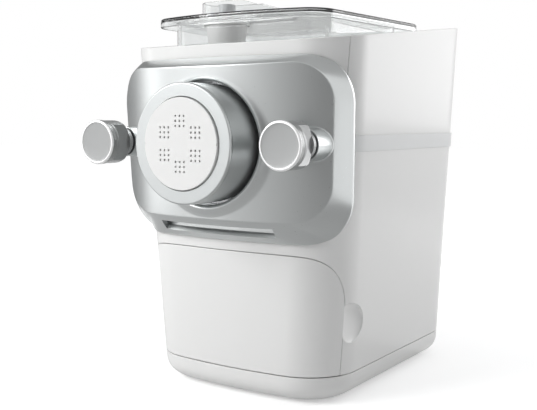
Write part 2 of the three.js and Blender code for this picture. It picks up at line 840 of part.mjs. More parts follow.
// A bar whose front and back follow given depths across its width
function bowedBar(halfWidth, frontOf, backOf, bottom, top) {
  const steps = 2 * panelStraightSteps;
  const places = Array.from({ length: steps + 1 }, (_, i) => mix(-halfWidth, halfWidth, i / steps));
  const front = places.map((x) => [x, frontOf(x)]);
  const back = places.map((x) => [x, backOf(x)]).reverse();
  return slabZ(polygon([...front, ...back]), [bottom, top]);
}

// Cap ring, shaping disc and extrusion tube
const ringBore = headRadius + fit;
const discBack = ringLip + fit + discFlange;

function capRing() {
  const lipRadius = discRadius + seamGap;
  return turnedY([
    [lipRadius, 0], [ringRadius - ringChamfer, 0], [ringRadius, ringChamfer], [ringRadius, ringDepth],
    [ringBore, ringDepth], [ringBore, ringLip], [lipRadius, ringLip], [lipRadius, 0]
  ], 0, axisHeight, fineSides);
}

function shapingDisc() {
  const boss = rodY(discRadius, [-discProud, ringLip + fit + seamGap], 0, 0, fineSides);
  const rim = rodY(discFlangeRadius, [ringLip + fit, discBack], 0, 0, largeSides);
  const holes = [];
  const half = holeSize / 2;
  const offset = (place) => place - (groupSide - 1) / 2;
  for (let group = 0; group < holeGroups; group++) {
    const angle = quarterTurn + group * fullTurn / holeGroups;
    for (let hole = 0; hole < groupSide ** 2; hole++) {
      const x = holeCircle * Math.cos(angle) + offset(hole % groupSide) * holePitchX;
      const z = holeCircle * Math.sin(angle) + offset(Math.floor(hole / groupSide)) * holePitchZ;
      holes.push(block([x - half, x + half], [-overrun, discBack + overrun], [z - half, z + half]));
    }
  }
  const notches = [-1, 1].map((side) => {
    const inner = side * (discRadius - notchWidth / 2);
    const outer = side * (discRadius + notchWidth);
    return block(
      [Math.min(inner, outer), Math.max(inner, outer)], [-discProud - overrun, notchDepth - discProud],
      [-notchWidth / 2, notchWidth / 2]
    );
  });
  return cut(join(boss, rim), ...holes, ...notches);
}

const tubeFrontY = discBack + fit;
const tubeBackY = chamberFrontY + chamberWall;

function extrusionTube() {
  return turnedY([
    [boreRadius, tubeFrontY], [headRadius, tubeFrontY], [headRadius, ringDepth + seamGap],
    [tubeRadius, ringDepth + seamGap + headRadius - tubeRadius - tubeFlange], [tubeRadius, flangeFrontY],
    [tubeFlangeRadius, flangeFrontY], [tubeFlangeRadius, flangeBackY], [tubeRadius, flangeBackY],
    [tubeRadius, tubeBackY], [boreRadius, tubeBackY], [boreRadius, tubeFrontY]
  ], 0, axisHeight);
}

function tubeGasket() {
  const inner = tubeRadius + fit;
  const outer = tubeRadius + tubeFlange * 2;
  const front = flangeBackY + fit;
  const back = front + gasketThickness;
  return turnedY([[inner, front], [outer, front], [outer, back], [inner, back], [inner, front]],
    0, axisHeight);
}

// Knob, bolt and washer, each drawn about its own axis
const washerFrontY = knobLength + fit;
const bossFrontY = washerFrontY + washerThickness + fit;

const knobFlatX = knobNeckRadius - knobFlatInset;
const shoulderShare = 0.75;
const shoulderY = (knobRound + knobNeckY) / 2;
const shoulderRadius = mix(knobNeckRadius, knobRadius, shoulderShare);

function knob() {
  const solid = turnedY([
    [0, knobHollow], [knobRadius - 2 * knobRim, knobHollow / 2], [knobRadius - knobRim, 0],
    [knobRadius - ringChamfer, 0], [knobRadius, ringChamfer], [knobRadius, knobBand],
    [knobRadius - knobGroove, knobBand + knobGroove], [knobRadius - knobGroove, knobRound],
    [shoulderRadius, shoulderY], [knobNeckRadius, knobNeckY],
    [knobNeckRadius, knobLength], [boltRadius + fit, knobLength],
    [boltRadius + fit, boltHeadY - fit], [0, boltHeadY - fit], [0, knobHollow]
  ], 0, 0, roundSides);
  const flats = [-1, 1].map((side) => {
    const [near, far] = [side * knobFlatX, side * (knobRadius + overrun)];
    return block(
      [Math.min(near, far), Math.max(near, far)], [knobFlatY, knobNeckY], [-knobRadius, knobRadius]
    );
  });
  return cut(solid, ...flats);
}

const knobBolt = () => rodY(boltRadius, [boltHeadY, boltEndY], 0, 0, smallSides);

const washer = () => cut(
  rodY(washerRadius, [washerFrontY, washerFrontY + washerThickness], 0, 0),
  rodY(boltRadius + boltBore, [0, boltEndY], 0, 0, smallSides)
);

// A bracket with a threaded bush at each side, fixed to the housing wall, takes the bolt.
const bracketFrontY = coverSeamY + fit;
const bracketLength = 16;
const bracketHalfHeight = 12;
const bracketInset = 13.5;
const bracketInnerX = knobX - bracketInset;

function clampBracket(side) {
  const inner = side * bracketInnerX;
  const outer = side * farSide;
  const plate = block(
    [Math.min(inner, outer), Math.max(inner, outer)], [bracketFrontY, bracketFrontY + bracketLength],
    [axisHeight - bracketHalfHeight, axisHeight + bracketHalfHeight]
  );
  const inside = bodySolid(coverBottomHeight, rimFrontHeight, wall + fit);
  const bore = rodY(boltRadius + boltBore, [0, farRear], side * knobX, axisHeight, smallSides);
  return cut(common(plate, inside), bore);
}

// Clear mixing chamber: a straight-sided tub over a half-round trough
function tub(inset, top) {
  const half = chamberHalfWidth - inset;
  const radius = chamberRadius - inset;
  const shape = new Shape();
  shape.moveTo(-half, axisHeight + top);
  shape.lineTo(-half, axisHeight + chamberShoulder);
  shape.absarc(0, axisHeight, radius, Math.PI, 2 * Math.PI);
  shape.lineTo(half, axisHeight + chamberShoulder);
  shape.lineTo(half, axisHeight + top);
  shape.closePath();
  const y = [chamberFrontY + inset, chamberRearY - inset];
  const plan = roundedRect([-half, half], y, chamberCorner - inset);
  const height = [axisHeight - chamberRadius - overrun, axisHeight + top + overrun];
  return common(slabY(shape, y, arcSteps), slabZ(plan, height));
}

function mixingChamber() {
  const tubeHole = rodY(tubeRadius + fit, [0, chamberFrontY + overrun], 0, axisHeight, largeSides);
  const shaftHole = rodY(sealRadius + fit, [chamberRearY - overrun, farRear], 0, axisHeight);
  return cut(tub(0, chamberTop), tub(chamberWall, chamberTop + overrun), tubeHole, shaftHole);
}

function shaftSeal() {
  const inner = shaftRadius + seamGap;
  const front = chamberRearY - chamberWall;
  const back = front + sealThickness;
  return turnedY([[inner, front], [sealRadius, front], [sealRadius, back], [inner, back], [inner, front]],
    0, axisHeight, roundSides);
}

// Clear lid: a bowed tray turned down at the rim, with a raised pouring inlet on top
function lidPlan(inset) {
  const plan = outline({
    halfWidth: lidHalfWidth - inset, front: lidFrontY + inset, rear: lidRearY - inset,
    frontBow: lidFrontBow - inset, rearBow: lidRearBow - inset,
    frontCorner: lidFrontCorner - inset, rearCorner: lidRearCorner - inset
  });
  const widthShareAt = (y) => mix(lidFrontShare, 1, (y - lidFrontY) / (lidRearY - lidFrontY));
  return polygon(plan.map(([x, y]) => [x * widthShareAt(y), y]));
}

function stadium(inset) {
  const radius = inletHalfDepth - inset;
  const reach = inletHalfLength - inletHalfDepth;
  const shape = new Shape();
  shape.absarc(inletX + reach, inletY, radius, -quarterTurn, quarterTurn);
  shape.absarc(inletX - reach, inletY, radius, quarterTurn, 3 * quarterTurn);
  shape.closePath();
  return shape;
}

const lidTopHeight = axisHeight + lidTop;

function lid() {
  const bottom = lidTopHeight - lidRim;
  const plateBottom = lidTopHeight - lidPlate;
  const tray = cut(
    slabZ(lidPlan(0), [bottom, lidTopHeight]),
    slabZ(lidPlan(lidRimWall), [bottom - overrun, plateBottom])
  );
  const inletTop = lidTopHeight + inletHeight;
  const inlet = cut(
    slabZ(stadium(0), [plateBottom, inletTop], arcSteps),
    slabZ(stadium(inletWall), [lidTopHeight, inletTop + overrun], arcSteps)
  );
  const endX = inletX + inletHalfLength;
  const slope = slabY(polygon([
    [inletSlopeX, inletTop], [endX, lidTopHeight + inletLowHeight],
    [endX + overrun, lidTopHeight + inletLowHeight], [endX + overrun, inletTop + overrun],
    [inletSlopeX, inletTop + overrun]
  ]), [0, lidRearY]);
  const hole = rodZ(funnelRadius + fit, [bottom - overrun, inletTop], funnelX, inletY);
  return cut(join(tray, cut(inlet, slope)), hole);
}

// Grey pouring funnel through the lid, and the white cup that hangs under it
function inletFunnel() {
  const inner = funnelRadius - funnelWall;
  const bottom = lidTopHeight - lidPlate;
  const seat = lidTopHeight + fit;
  const top = axisHeight + funnelTop;
  return turnedZ([
    [inner, bottom], [funnelRadius, bottom], [funnelRadius, seat], [funnelFlange, seat],
    [funnelFlange, seat + funnelWall], [funnelRadius, seat + funnelWall], [funnelRadius, top],
    [inner, top], [inner, bottom]
  ], funnelX, inletY, smallSides);
}

function pouringCup() {
  const top = lidTopHeight - lidPlate - fit;
  const bottom = top - cupDepth;
  const spout = funnelRadius - funnelWall;
  return turnedZ([
    [spout, bottom], [cupFootRadius, bottom], [cupRadius, top - cupRim], [cupRimRadius, top - cupRim],
    [cupRimRadius, top], [cupRadius - cupWall, top], [cupFootRadius - cupWall, bottom + cupWall],
    [spout, bottom + cupWall], [spout, bottom]
  ], funnelX, inletY);
}

// Extruder screw and mixing paddle
function helix(core, radius, start, pitch, thickness, turns) {
  const steps = Math.round(turns * stepsPerTurn);
  const rings = [];
  for (let i = 0; i <= steps; i++) {
    const angle = (i / steps) * turns * fullTurn;
    const y = start + (i / steps) * turns * pitch;
    const at = (r, along) => new Vector3(r * Math.cos(angle), along, r * Math.sin(angle));
    rings.push([at(core, y), at(radius, y), at(radius, y + thickness), at(core, y + thickness)]);
  }
  return loft(rings, (p) => new Vector2(Math.hypot(p.x, p.z), p.y));
}

const hexSides = 6;
const hexRod = (flats, y) => rodY(flats / 2 / Math.cos(Math.PI / hexSides), y, 0, 0, hexSides);

const screwEndY = tubeBackY - seamGap;
const paddleFrontY = screwEndY + fit;
const hexStub = 12;

function extruderScrew() {
  const flight = helix(screwCore - seamGap, screwRadius, screwStartY, screwPitch, screwFlight, screwTurns);
  const core = rodY(screwCore, [screwStartY - seamGap, screwEndY], 0, 0);
  const limit = rodY(screwRadius + overrun, [screwStartY - seamGap, screwEndY], 0, 0, tinySides);
  const socket = hexRod(dogFlats + 2 * dogPlay, [screwEndY - hexStub - seamGap, screwEndY + overrun]);
  return cut(common(join(core, flight), limit), socket);
}

const paddleRearY = chamberRearY - chamberWall - seamGap;

function mixingPaddle() {
  const hub = rodY(hubRadius, [paddleFrontY, paddleRearY], 0, 0);
  const stub = hexRod(dogFlats, [screwEndY - hexStub, paddleFrontY + overrun]);
  const room = paddleRearY - paddleFrontY - 2 * armFoot;
  const arms = [];
  for (let i = 0; i < armCount; i++) {
    const y = paddleFrontY + armFoot + (i / (armCount - 1)) * room;
    const angle = i * 2 * fullTurn / armCount;
    const arm = new THREE.CylinderGeometry(armRadius, armRadius, armReach - armRadius, tinySides);
    arm.translate(0, (armReach - armRadius) / 2, 0);
    arm.rotateZ(-quarterTurn);
    const bar = new THREE.BoxGeometry(bladeThickness, armFoot, bladeWidth);
    bar.translate(armReach - bladeThickness / 2, 0, 0);
    for (const form of [arm, bar]) arms.push(toSolid(form.rotateY(-angle).translate(0, y, 0)));
  }
  const socket = hexRod(dogFlats + 2 * dogPlay, [paddleRearY - dogDepth - fit, paddleRearY + overrun]);
  return cut(join(hub, stub, ...arms), socket);
}

// Gears have straight-sided teeth with a pressure angle of twenty degrees.
const pressureAngle = 20 * Math.PI / 180;
const addendumShare = 0.75;
const dedendumShare = 1.1;
const toothShare = 0.205;

function gearShape(teeth, bore, phase = 0) {
  const pitchRadius = teeth * gearModule / 2;
  const halfAngle = (radius) =>
    (toothShare * Math.PI * gearModule - (radius - pitchRadius) * Math.tan(pressureAngle)) / radius;
  const tip = pitchRadius + addendumShare * gearModule;
  const root = pitchRadius - dedendumShare * gearModule;
  const points = [];
  for (let i = 0; i < teeth; i++) {
    const centre = (i + phase) * fullTurn / teeth;
    for (const [radius, side] of [[root, -1], [tip, -1], [tip, 1], [root, 1]]) {
      const angle = centre + side * halfAngle(radius);
      points.push(new Vector2(radius * Math.cos(angle), radius * Math.sin(angle)));
    }
  }
  const shape = new Shape(points);
  const hole = new THREE.Path();
  hole.absarc(0, 0, bore, 0, fullTurn, true);
  shape.holes.push(hole);
  return shape;
}

const pitchOf = (teeth) => teeth * gearModule / 2;
const axleHeight = axisHeight - pitchOf(outputTeeth) - pitchOf(smallTeeth);
const motorHeight = axleHeight - pitchOf(largeTeeth) - pitchOf(motorTeeth);

const gearboxFrontY = bulkheadY + bulkheadThickness + fit;
const gearboxFloorY = gearboxFrontY + gearboxWall;
const gearboxRearY = gearboxFrontY + gearboxDepth;
const largeGearY = gearboxFloorY + 2 * gearModule;
const smallGearEndY = largeGearY + largeGearWidth + smallGearWidth;
const outputGearY = smallGearEndY - smallGearWidth + 2 * gearModule;
const coverRearY = gearboxRearY + fit + gearboxWall;

// Where two gears meet, one has a tooth on the line of centres and the other a gap.
const toothUp = (teeth) => teeth / 4;
const toothDown = (teeth) => 3 * teeth / 4;
const halfTooth = 0.5;
const gear = (teeth, bore, phase, y) => slabY(gearShape(teeth, bore, phase), y, arcSteps);

const intermediateGear = () => join(
  gear(largeTeeth, axleRadius + fit, toothDown(largeTeeth), [largeGearY, largeGearY + largeGearWidth]),
  gear(smallTeeth, axleRadius + fit, toothUp(smallTeeth), [largeGearY + largeGearWidth, smallGearEndY])
);

const outputGear = () =>
  gear(outputTeeth, shaftRadius + fit, toothDown(outputTeeth) + halfTooth, [outputGearY, smallGearEndY]);

const motorPinion = () => gear(
  motorTeeth, motorShaftRadius + fit, toothUp(motorTeeth) + halfTooth,
  [largeGearY - gearModule, largeGearY + largeGearWidth + gearModule]
);

function outputShaft() {
  const dog = hexRod(dogFlats, [paddleRearY - dogDepth, paddleRearY + 2 * fit]);
  const shaft = rodY(shaftRadius, [paddleRearY + fit, coverRearY + bearingWidth / 2], 0, 0);
  return join(shaft, dog);
}

const gearboxBottom = motorHeight - pitchOf(motorTeeth) - gearModule * 2 - gearboxWall;

function gearboxOutline(inset) {
  const radius = gearboxRadius - inset;
  const shape = new Shape();
  shape.absarc(0, axisHeight, radius, 0, Math.PI);
  shape.absarc(0, gearboxBottom + gearboxRadius, radius, Math.PI, 2 * Math.PI);
  shape.closePath();
  return shape;
}

const shaftHoles = (y) => [
  rodY(bearingRadius + fit, y, 0, axisHeight),
  rodY(axleRadius + fit, y, 0, axleHeight, smallSides),
  rodY(motorShaftRadius + 2 * fit, y, 0, motorHeight, smallSides)
];

function gearboxHousing() {
  const cup = cut(
    slabY(gearboxOutline(0), [gearboxFrontY, gearboxRearY], arcSteps),
    slabY(gearboxOutline(gearboxWall), [gearboxFloorY, gearboxRearY + overrun], arcSteps)
  );
  return cut(cup, ...shaftHoles([gearboxFrontY - overrun, gearboxRearY]));
}

const gearboxCover = () => cut(
  slabY(gearboxOutline(0), [gearboxRearY + fit, coverRearY], arcSteps),
  ...shaftHoles([gearboxRearY, coverRearY + overrun])
);

function bearing(front) {
  const inner = shaftRadius + bearingPlay;
  return turnedY([
    [inner, front], [bearingRadius, front], [bearingRadius, front + bearingWidth],
    [inner, front + bearingWidth], [inner, front]
  ], 0, axisHeight, roundSides);
}

const intermediateAxle = () =>
  rodY(axleRadius, [gearboxFrontY + fit, coverRearY], 0, axleHeight, smallSides);

// Bulkhead between the chamber and the drive, standing in the base tray
const bulkheadFootInset = 16.7;
const bulkheadFootHalfWidth = seamHalfWidth - bulkheadFootInset;

function bulkhead() {
  const y = [bulkheadY, bulkheadY + bulkheadThickness];
  const upper = common(
    bodySolid(seamHeight, deckHeight - fit, wall + seamGap),
    block([-farSide, farSide], y, [0, rimRearHeight])
  );
  const across = [-bulkheadFootHalfWidth, bulkheadFootHalfWidth];
  const leg = block(across, y, [baseTop + fit, seamHeight + overrun]);
  return cut(join(upper, leg), ...shaftHoles([bulkheadY - overrun, bulkheadY + overrun]));
}

// Motor: a can on the bulkhead, a wound stator and a rotor with its shaft
const motorBackY = bulkheadY - fit;
const motorFrontY = motorBackY - motorLength;
const motorMiddleY = motorFrontY + motorLength / 2;

const motorHousing = () => turnedY([
  [motorShaftRadius + fit, motorFrontY], [motorRadius, motorFrontY], [motorRadius, motorBackY],
  [motorRadius - motorWall, motorBackY], [motorRadius - motorWall, motorFrontY + motorWall],
  [motorShaftRadius + fit, motorFrontY + motorWall], [motorShaftRadius + fit, motorFrontY]
], 0, motorHeight, roundSides);

function motorStator() {
  const outer = motorRadius - motorWall - fit;
  const inner = outer - statorThickness;
  const y = [motorMiddleY - rotorLength / 2, motorMiddleY + rotorLength / 2];
  return turnedY([[inner, y[0]], [outer, y[0]], [outer, y[1]], [inner, y[1]], [inner, y[0]]],
    0, motorHeight, roundSides);
}

const fanFrontY = coverRearY + 2 * overrun;

const motorRotor = () => join(
  rodY(rotorRadius, [motorMiddleY - rotorLength / 2, motorMiddleY + rotorLength / 2], 0, 0),
  rodY(motorShaftRadius, [motorFrontY, fanFrontY + fanWidth], 0, 0, smallSides)
);

function coolingFan() {
  const y = [fanFrontY, fanFrontY + fanWidth];
  const hub = rodY(fanHubRadius, y, 0, 0, smallSides);
  const blades = Array.from({ length: fanBlades }, (_, i) => {
    const span = [fanHubRadius / 2, fanRadius];
    const blade = new THREE.BoxGeometry(span[1] - span[0], fanWidth, fanBladeThickness);
    blade.rotateX(fanBladeAngle).translate(middle(span), middle(y), 0);
    return toSolid(blade.rotateY(i * fullTurn / fanBlades));
  });
  const limit = rodY(fanRadius, y, 0, 0);
  const bore = rodY(motorShaftRadius + fit, [0, farRear], 0, 0, smallSides);
  return cut(common(join(hub, ...blades), limit), bore);
}

// Power board on four posts behind the bulkhead, between the gearbox and the housing's left wall
const boardHalfHeight = 55;
const boardSideGap = 5;
const boardRoom = halfWidthAt(axisHeight - boardHalfHeight) - wall - gearboxRadius;
const boardHalfWidth = boardRoom / 2 - boardSideGap;
const boardX = -gearboxRadius - boardSideGap - boardHalfWidth;
const boardGap = 12;
const postRadius = 2.5;
const chipHeight = 14;

function powerBoard() {
  const front = bulkheadY + bulkheadThickness + boardGap;
  const back = front + boardThickness;
  const around = (centre, half) => [centre - half, centre + half];
  const plate = block(around(boardX, boardHalfWidth), [front, back], around(axisHeight, boardHalfHeight));
  const spread = [-1, 1];
  const postX = boardHalfWidth - postRadius - fit;
  const postZ = boardHalfHeight - postRadius - fit;
  const post = (across, up) => rodY(
    postRadius, [bulkheadY + bulkheadThickness + fit, back],
    boardX + across * postX, axisHeight + up * postZ, tinySides
  );
  const posts = spread.flatMap((across) => spread.map((up) => post(across, up)));
  const chips = [-1, 0, 1].map((row) => block(
    around(boardX, boardHalfWidth / 2), [front, back + chipHeight],
    around(axisHeight + row * boardHalfHeight / 2, boardHalfWidth / 2)
  ));
  return join(plate, ...posts, ...chips);
}

// Drawer bay: a box on the base, with two ribs on its roof that cradle the chamber
const bayFrontY = drawerEdgeY + seamGap;

function drawerBay() {
  const outer = [-bayHalfWidth, bayHalfWidth];
  const inner = [bayWall - bayHalfWidth, bayHalfWidth - bayWall];
  const y = [bayFrontY, bayRearY];
  const footInset = skirtInset + wall;
  const box = join(
    block(outer, y, [bayFloorHeight, bayTopHeight]),
    block([outer[0] + footInset, outer[1] - footInset], y, [baseTop + fit, bayFloorHeight + fit])
  );
  const room = block(inner, [bayFrontY - overrun, bayRearY - bayWall],
    [bayFloorHeight + bayWall, bayTopHeight - bayWall]);
  const under = block(
    [outer[0] + footInset + bayWall, outer[1] - footInset - bayWall],
    [bayFrontY - overrun, bayRearY + overrun], [0, bayFloorHeight]
  );
  const ribs = [bayFrontY + cradleInset, bayRearY - cradleRib].map((ribY) => block(
    [-cradleHalfWidth, cradleHalfWidth], [ribY, ribY + cradleRib], [bayTopHeight - fit, axisHeight]
  ));
  const trough = rodY(chamberRadius + fit, [0, farRear], 0, axisHeight, largeSides);
  return join(cut(box, room, under), ...ribs.map((rib) => cut(rib, trough)));
}

// Drawer: a bowed front that wraps both corners, and a tray behind it
const drawerBottom = seamHeight + seamGap;

const drawerFront = () => common(shellWall(drawerBottom), drawerZone(seamGap, drawerBottom));

function drawerTray() {
  const half = bayHalfWidth - bayWall - seamGap;
  const bottom = bayFloorHeight + bayWall + fit;
  const rear = bayRearY - bayWall - seamGap;
  const form = (inset, low, high) => common(
    bodySolid(low, high, wall + fit + inset),
    block([inset - half, half - inset], [0, rear - inset], [low, high])
  );
  return cut(form(0, bottom, trayTopHeight), form(trayWall, bottom + trayWall, trayTopHeight + overrun));
}

// Places across the console: the power button, the window, then four buttons in a row
const buttonPitch = 2 * buttonRadius + buttonGap;
const rowButtons = ['program_button', 'weigh_button', 'time_button', 'start_button'];
const rowLength = buttonPitch * (rowButtons.length - 1);
const controlsLength = 4 * buttonRadius + powerGap + 2 * windowHalfWidth + windowGap + rowLength;
const powerX = buttonRadius - controlsLength / 2;
const windowX = powerX + buttonRadius + powerGap + windowHalfWidth;
const rowX = windowX + windowHalfWidth + windowGap + buttonRadius;
const buttonPlaces = [
  ['power_button', powerX], ...rowButtons.map((name, i) => [name, rowX + i * buttonPitch])
];
const panelPlateHalfWidth = controlsLength / 2 + plateMargin;

// Top deck with the console behind the chamber
const plateSlotHalf = panelPlateHalfWidth - ledge;
const consoleMiddleY = (consoleFrontY + rimRear - wall) / 2;

function topDeck() {
  const deckTop = deckHeight + deckThickness;
  const high = rimRearHeight + overrun;
  const across = [-farSide, farSide];
  const opening = block(
    [-deckOpeningHalfWidth, deckOpeningHalfWidth], [0, bulkheadY - fit],
    [deckHeight - overrun, deckTop + overrun]
  );
  const plate = cut(block(across, [coverSeamY + seamGap, farRear], [deckHeight, deckTop]), opening);
  const form = join(plate, block(across, [consoleFrontY, farRear], [deckHeight, high]));
  const outer = cut(common(bodySolid(deckHeight, high, wall + fit), form), aboveRim(consoleDrop));
  const inner = cut(
    common(
      bodySolid(deckHeight - overrun, high, 2 * wall + fit),
      block(across, [consoleFrontY + wall, farRear], [deckHeight - overrun, high])
    ),
    aboveRim(consoleDrop + consolePlate)
  );
  const plungerHole = rodY(
    plungerRadius + fit, [bulkheadY, consoleFrontY + wall + overrun], switchX, switchMiddle, tinySides
  );
  return cut(outer, inner, plungerHole, ...consoleCuts());
}

// Places on the console are given across, along the slope and out of it.
const consoleOrigin = new Vector3(0, consoleMiddleY, rimAt(consoleMiddleY) - consoleDrop);

function onSlope(geometry) {
  return geometry.rotateX(rimAngle).translate(consoleOrigin.x, consoleOrigin.y, consoleOrigin.z);
}

function slopeBlock(x, along, out) {
  const box = new THREE.BoxGeometry(x[1] - x[0], along[1] - along[0], out[1] - out[0]);
  return toSolid(onSlope(box.translate(middle(x), middle(along), middle(out))));
}

function consoleCuts() {
  const x = panelPlateHalfWidth + fit;
  const y = panelPlateLength / 2 + fit;
  return [
    slopeBlock([-x, x], [-y, y], [-panelPlateThickness, overrun]),
    slopeBlock([-plateSlotHalf, plateSlotHalf], [ledge - y, y - ledge], [-overrun, overrun])
  ];
}

// Control panel, window and buttons are drawn flat and laid on the slope by their group.
const panelTopFace = 0;
const panelBackFace = fit - panelPlateThickness;
const boardFront = -boardDrop;

const windowRange = (gap) => [
  [windowX - windowHalfWidth + gap, windowX + windowHalfWidth - gap],
  [gap - windowHalfHeight, windowHalfHeight - gap]
];

function controlPanel() {
  const y = panelPlateLength / 2;
  const shape = roundedRect([-panelPlateHalfWidth, panelPlateHalfWidth], [-y, y], panelPlateCorner);
  const plate = slabZ(shape, [panelBackFace, panelTopFace]);
  const [x, along] = windowRange(0);
  const recess = block(x, along, [panelTopFace - windowThickness, overrun]);
  const holes = buttonPlaces.map(([, buttonX]) =>
    rodZ(buttonRadius + fit, [panelBackFace - overrun, overrun], buttonX, 0, smallSides));
  const spread = [-1, 1];
  const posts = spread.flatMap((across) => spread.map((up) => rodZ(
    postRadius, [boardFront + fit, panelTopFace - windowThickness],
    across * (plateSlotHalf - 2 * postRadius), up * (y - 2 * ledge - postRadius), tinySides
  )));
  return join(cut(plate, recess, ...holes), ...posts);
}

function displayWindow() {
  const [x, y] = windowRange(fit);
  return block(x, y, [panelTopFace + fit - windowThickness, panelTopFace]);
}

function displayBoard() {
  const x = plateSlotHalf - fit - seamGap;
  const y = panelPlateLength / 2 - ledge - seamGap - fit;
  return block([-x, x], [-y, y], [boardFront - boardThickness, boardFront]);
}

const button = () => turnedZ([
  [0, buttonProud - buttonLength], [buttonRadius - buttonSkirt, buttonProud - buttonLength],
  [buttonRadius, buttonProud - buttonLength + buttonSkirt], [buttonRadius, buttonProud - buttonSkirt / 2],
  [buttonRadius - buttonSkirt / 2, buttonProud], [0, buttonProud]
], 0, 0, smallSides);

// Safety switch inside the console, with its plunger against the chamber's rear wall
const switchX = 58;
const switchHalfWidth = 10;
const switchHeight = 14;
const switchLength = 8;
const switchBottom = deckHeight + deckThickness + seamGap;
const switchMiddle = switchBottom + switchHeight / 2;
const plungerRadius = 1.8;

function safetySwitch() {
  const front = consoleFrontY + wall + fit;
  const body = block(
    [switchX - switchHalfWidth, switchX + switchHalfWidth], [front, front + switchLength],
    [switchBottom, switchBottom + switchHeight]
  );
  return join(body, rodY(plungerRadius, [chamberRearY + fit, front + fit], switchX, switchMiddle, tinySides));
}

// Finishes
const finish = (color, roughness, metalness = 0, opacity = 1) => () => new THREE.MeshStandardMaterial({
  color, roughness, metalness, opacity, transparent: opacity < 1
});
const white = finish('#f1f0ed', 0.45);
const paleGrey = finish('#d3d4d4', 0.4);
const silver = finish('#b9bdbe', 0.35, 0.85);
const ringSilver = finish('#cdd0d0', 0.4, 0.6);
const knobGrey = finish('#a9abad', 0.5, 0.1);
const clear = finish('#e6eaeb', 0.08, 0, 0.35);
const funnelGrey = finish('#b4b6b8', 0.4);
const darkGrey = finish('#3a3c3e', 0.5);
const rubber = finish('#2e2f30', 0.9);
const steel = finish('#9aa0a3', 0.35, 0.9);
const copper = finish('#a8683f', 0.4, 0.8);
const gearWhite = finish('#e4e0d2', 0.55);
const boardGreen = finish('#2f6b45', 0.6);

// Assembly
const machine = new THREE.Group();
machine.position.y = -(seamRear - discProud) / 2;

function add(parent, name, solid, material, place = [0, 0, 0]) {
  const { vertProperties, triVerts } = solid.getMesh();
  const geometry = new THREE.BufferGeometry();
  geometry.setAttribute('position', new THREE.BufferAttribute(vertProperties, 3));
  geometry.setIndex(new THREE.BufferAttribute(triVerts, 1));
  geometry.computeVertexNormals();
  const mesh = new THREE.Mesh(geometry, material());
  mesh.name = name;
  mesh.position.set(...place);
  parent.add(mesh);
}

const onAxis = [0, 0, axisHeight];

add(machine, 'main_housing', mainHousing(), white);
add(machine, 'base_skirt', baseSkirt(), white);
for (const [name, x, y] of footPlaces) add(machine, name, foot(), rubber, [x, y, 0]);
add(machine, 'front_cover', frontCover(), white);
add(machine, 'rear_cover', rearCover(), white);
add(machine, 'power_inlet', powerInlet(), darkGrey);
add(machine, 'side_band_left', sideBand(-1), paleGrey);
add(machine, 'side_band_right', sideBand(1), paleGrey);
add(machine, 'bulkhead', bulkhead(), paleGrey);
add(machine, 'drawer_bay', drawerBay(), paleGrey);
add(machine, 'drawer_front', drawerFront(), white);
add(machine, 'drawer_tray', drawerTray(), paleGrey);
add(machine, 'clamp_bracket_left', clampBracket(-1), steel);
add(machine, 'clamp_bracket_right', clampBracket(1), steel);

add(machine, 'front_panel', frontPanel(), silver);
add(machine, 'extrusion_tube', extrusionTube(), steel);
add(machine, 'tube_gasket', tubeGasket(), rubber);
add(machine, 'shaping_disc', shapingDisc(), white, onAxis);
add(machine, 'cap_ring', capRing(), ringSilver);
for (const [word, side] of [['left', -1], ['right', 1]]) {
  const place = [side * knobX, 0, axisHeight];
  add(machine, `${word}_knob`, knob(), knobGrey, place);
  add(machine, `${word}_knob_bolt`, knobBolt(), steel, place);
  add(machine, `${word}_knob_washer`, washer(), darkGrey, place);
}

add(machine, 'mixing_chamber', mixingChamber(), clear);
add(machine, 'shaft_seal', shaftSeal(), rubber);
add(machine, 'lid', lid(), clear);
add(machine, 'inlet_funnel', inletFunnel(), funnelGrey);
add(machine, 'pouring_cup', pouringCup(), white);
add(machine, 'extruder_screw', extruderScrew(), paleGrey, onAxis);
add(machine, 'mixing_paddle', mixingPaddle(), paleGrey, onAxis);

add(machine, 'output_shaft', outputShaft(), steel, onAxis);
add(machine, 'output_gear', outputGear(), gearWhite, onAxis);
add(machine, 'intermediate_gear', intermediateGear(), gearWhite, [0, 0, axleHeight]);
add(machine, 'intermediate_axle', intermediateAxle(), steel);
add(machine, 'motor_pinion', motorPinion(), steel, [0, 0, motorHeight]);
add(machine, 'gearbox_housing', gearboxHousing(), darkGrey);
add(machine, 'gearbox_cover', gearboxCover(), darkGrey);
add(machine, 'front_bearing', bearing(bulkheadY + fit), steel);
add(machine, 'rear_bearing', bearing(gearboxRearY + fit), steel);
add(machine, 'motor_housing', motorHousing(), steel);
add(machine, 'motor_stator', motorStator(), copper);
add(machine, 'motor_rotor', motorRotor(), steel, [0, 0, motorHeight]);
add(machine, 'cooling_fan', coolingFan(), darkGrey, [0, 0, motorHeight]);
add(machine, 'power_board', powerBoard(), boardGreen);

add(machine, 'top_deck', topDeck(), white);
add(machine, 'safety_switch', safetySwitch(), darkGrey);
const slope = new THREE.Group();
slope.position.copy(consoleOrigin);
slope.rotation.x = rimAngle;
machine.add(slope);
add(slope, 'control_panel', controlPanel(), paleGrey);
add(slope, 'display_window', displayWindow(), darkGrey);
add(slope, 'display_board', displayBoard(), boardGreen);
for (const [name, x] of buttonPlaces) add(slope, name, button(), white, [x, 0, 0]);

export default machine;
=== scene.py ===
import json
import math

import bmesh
import bpy
from mathutils import Matrix, Vector

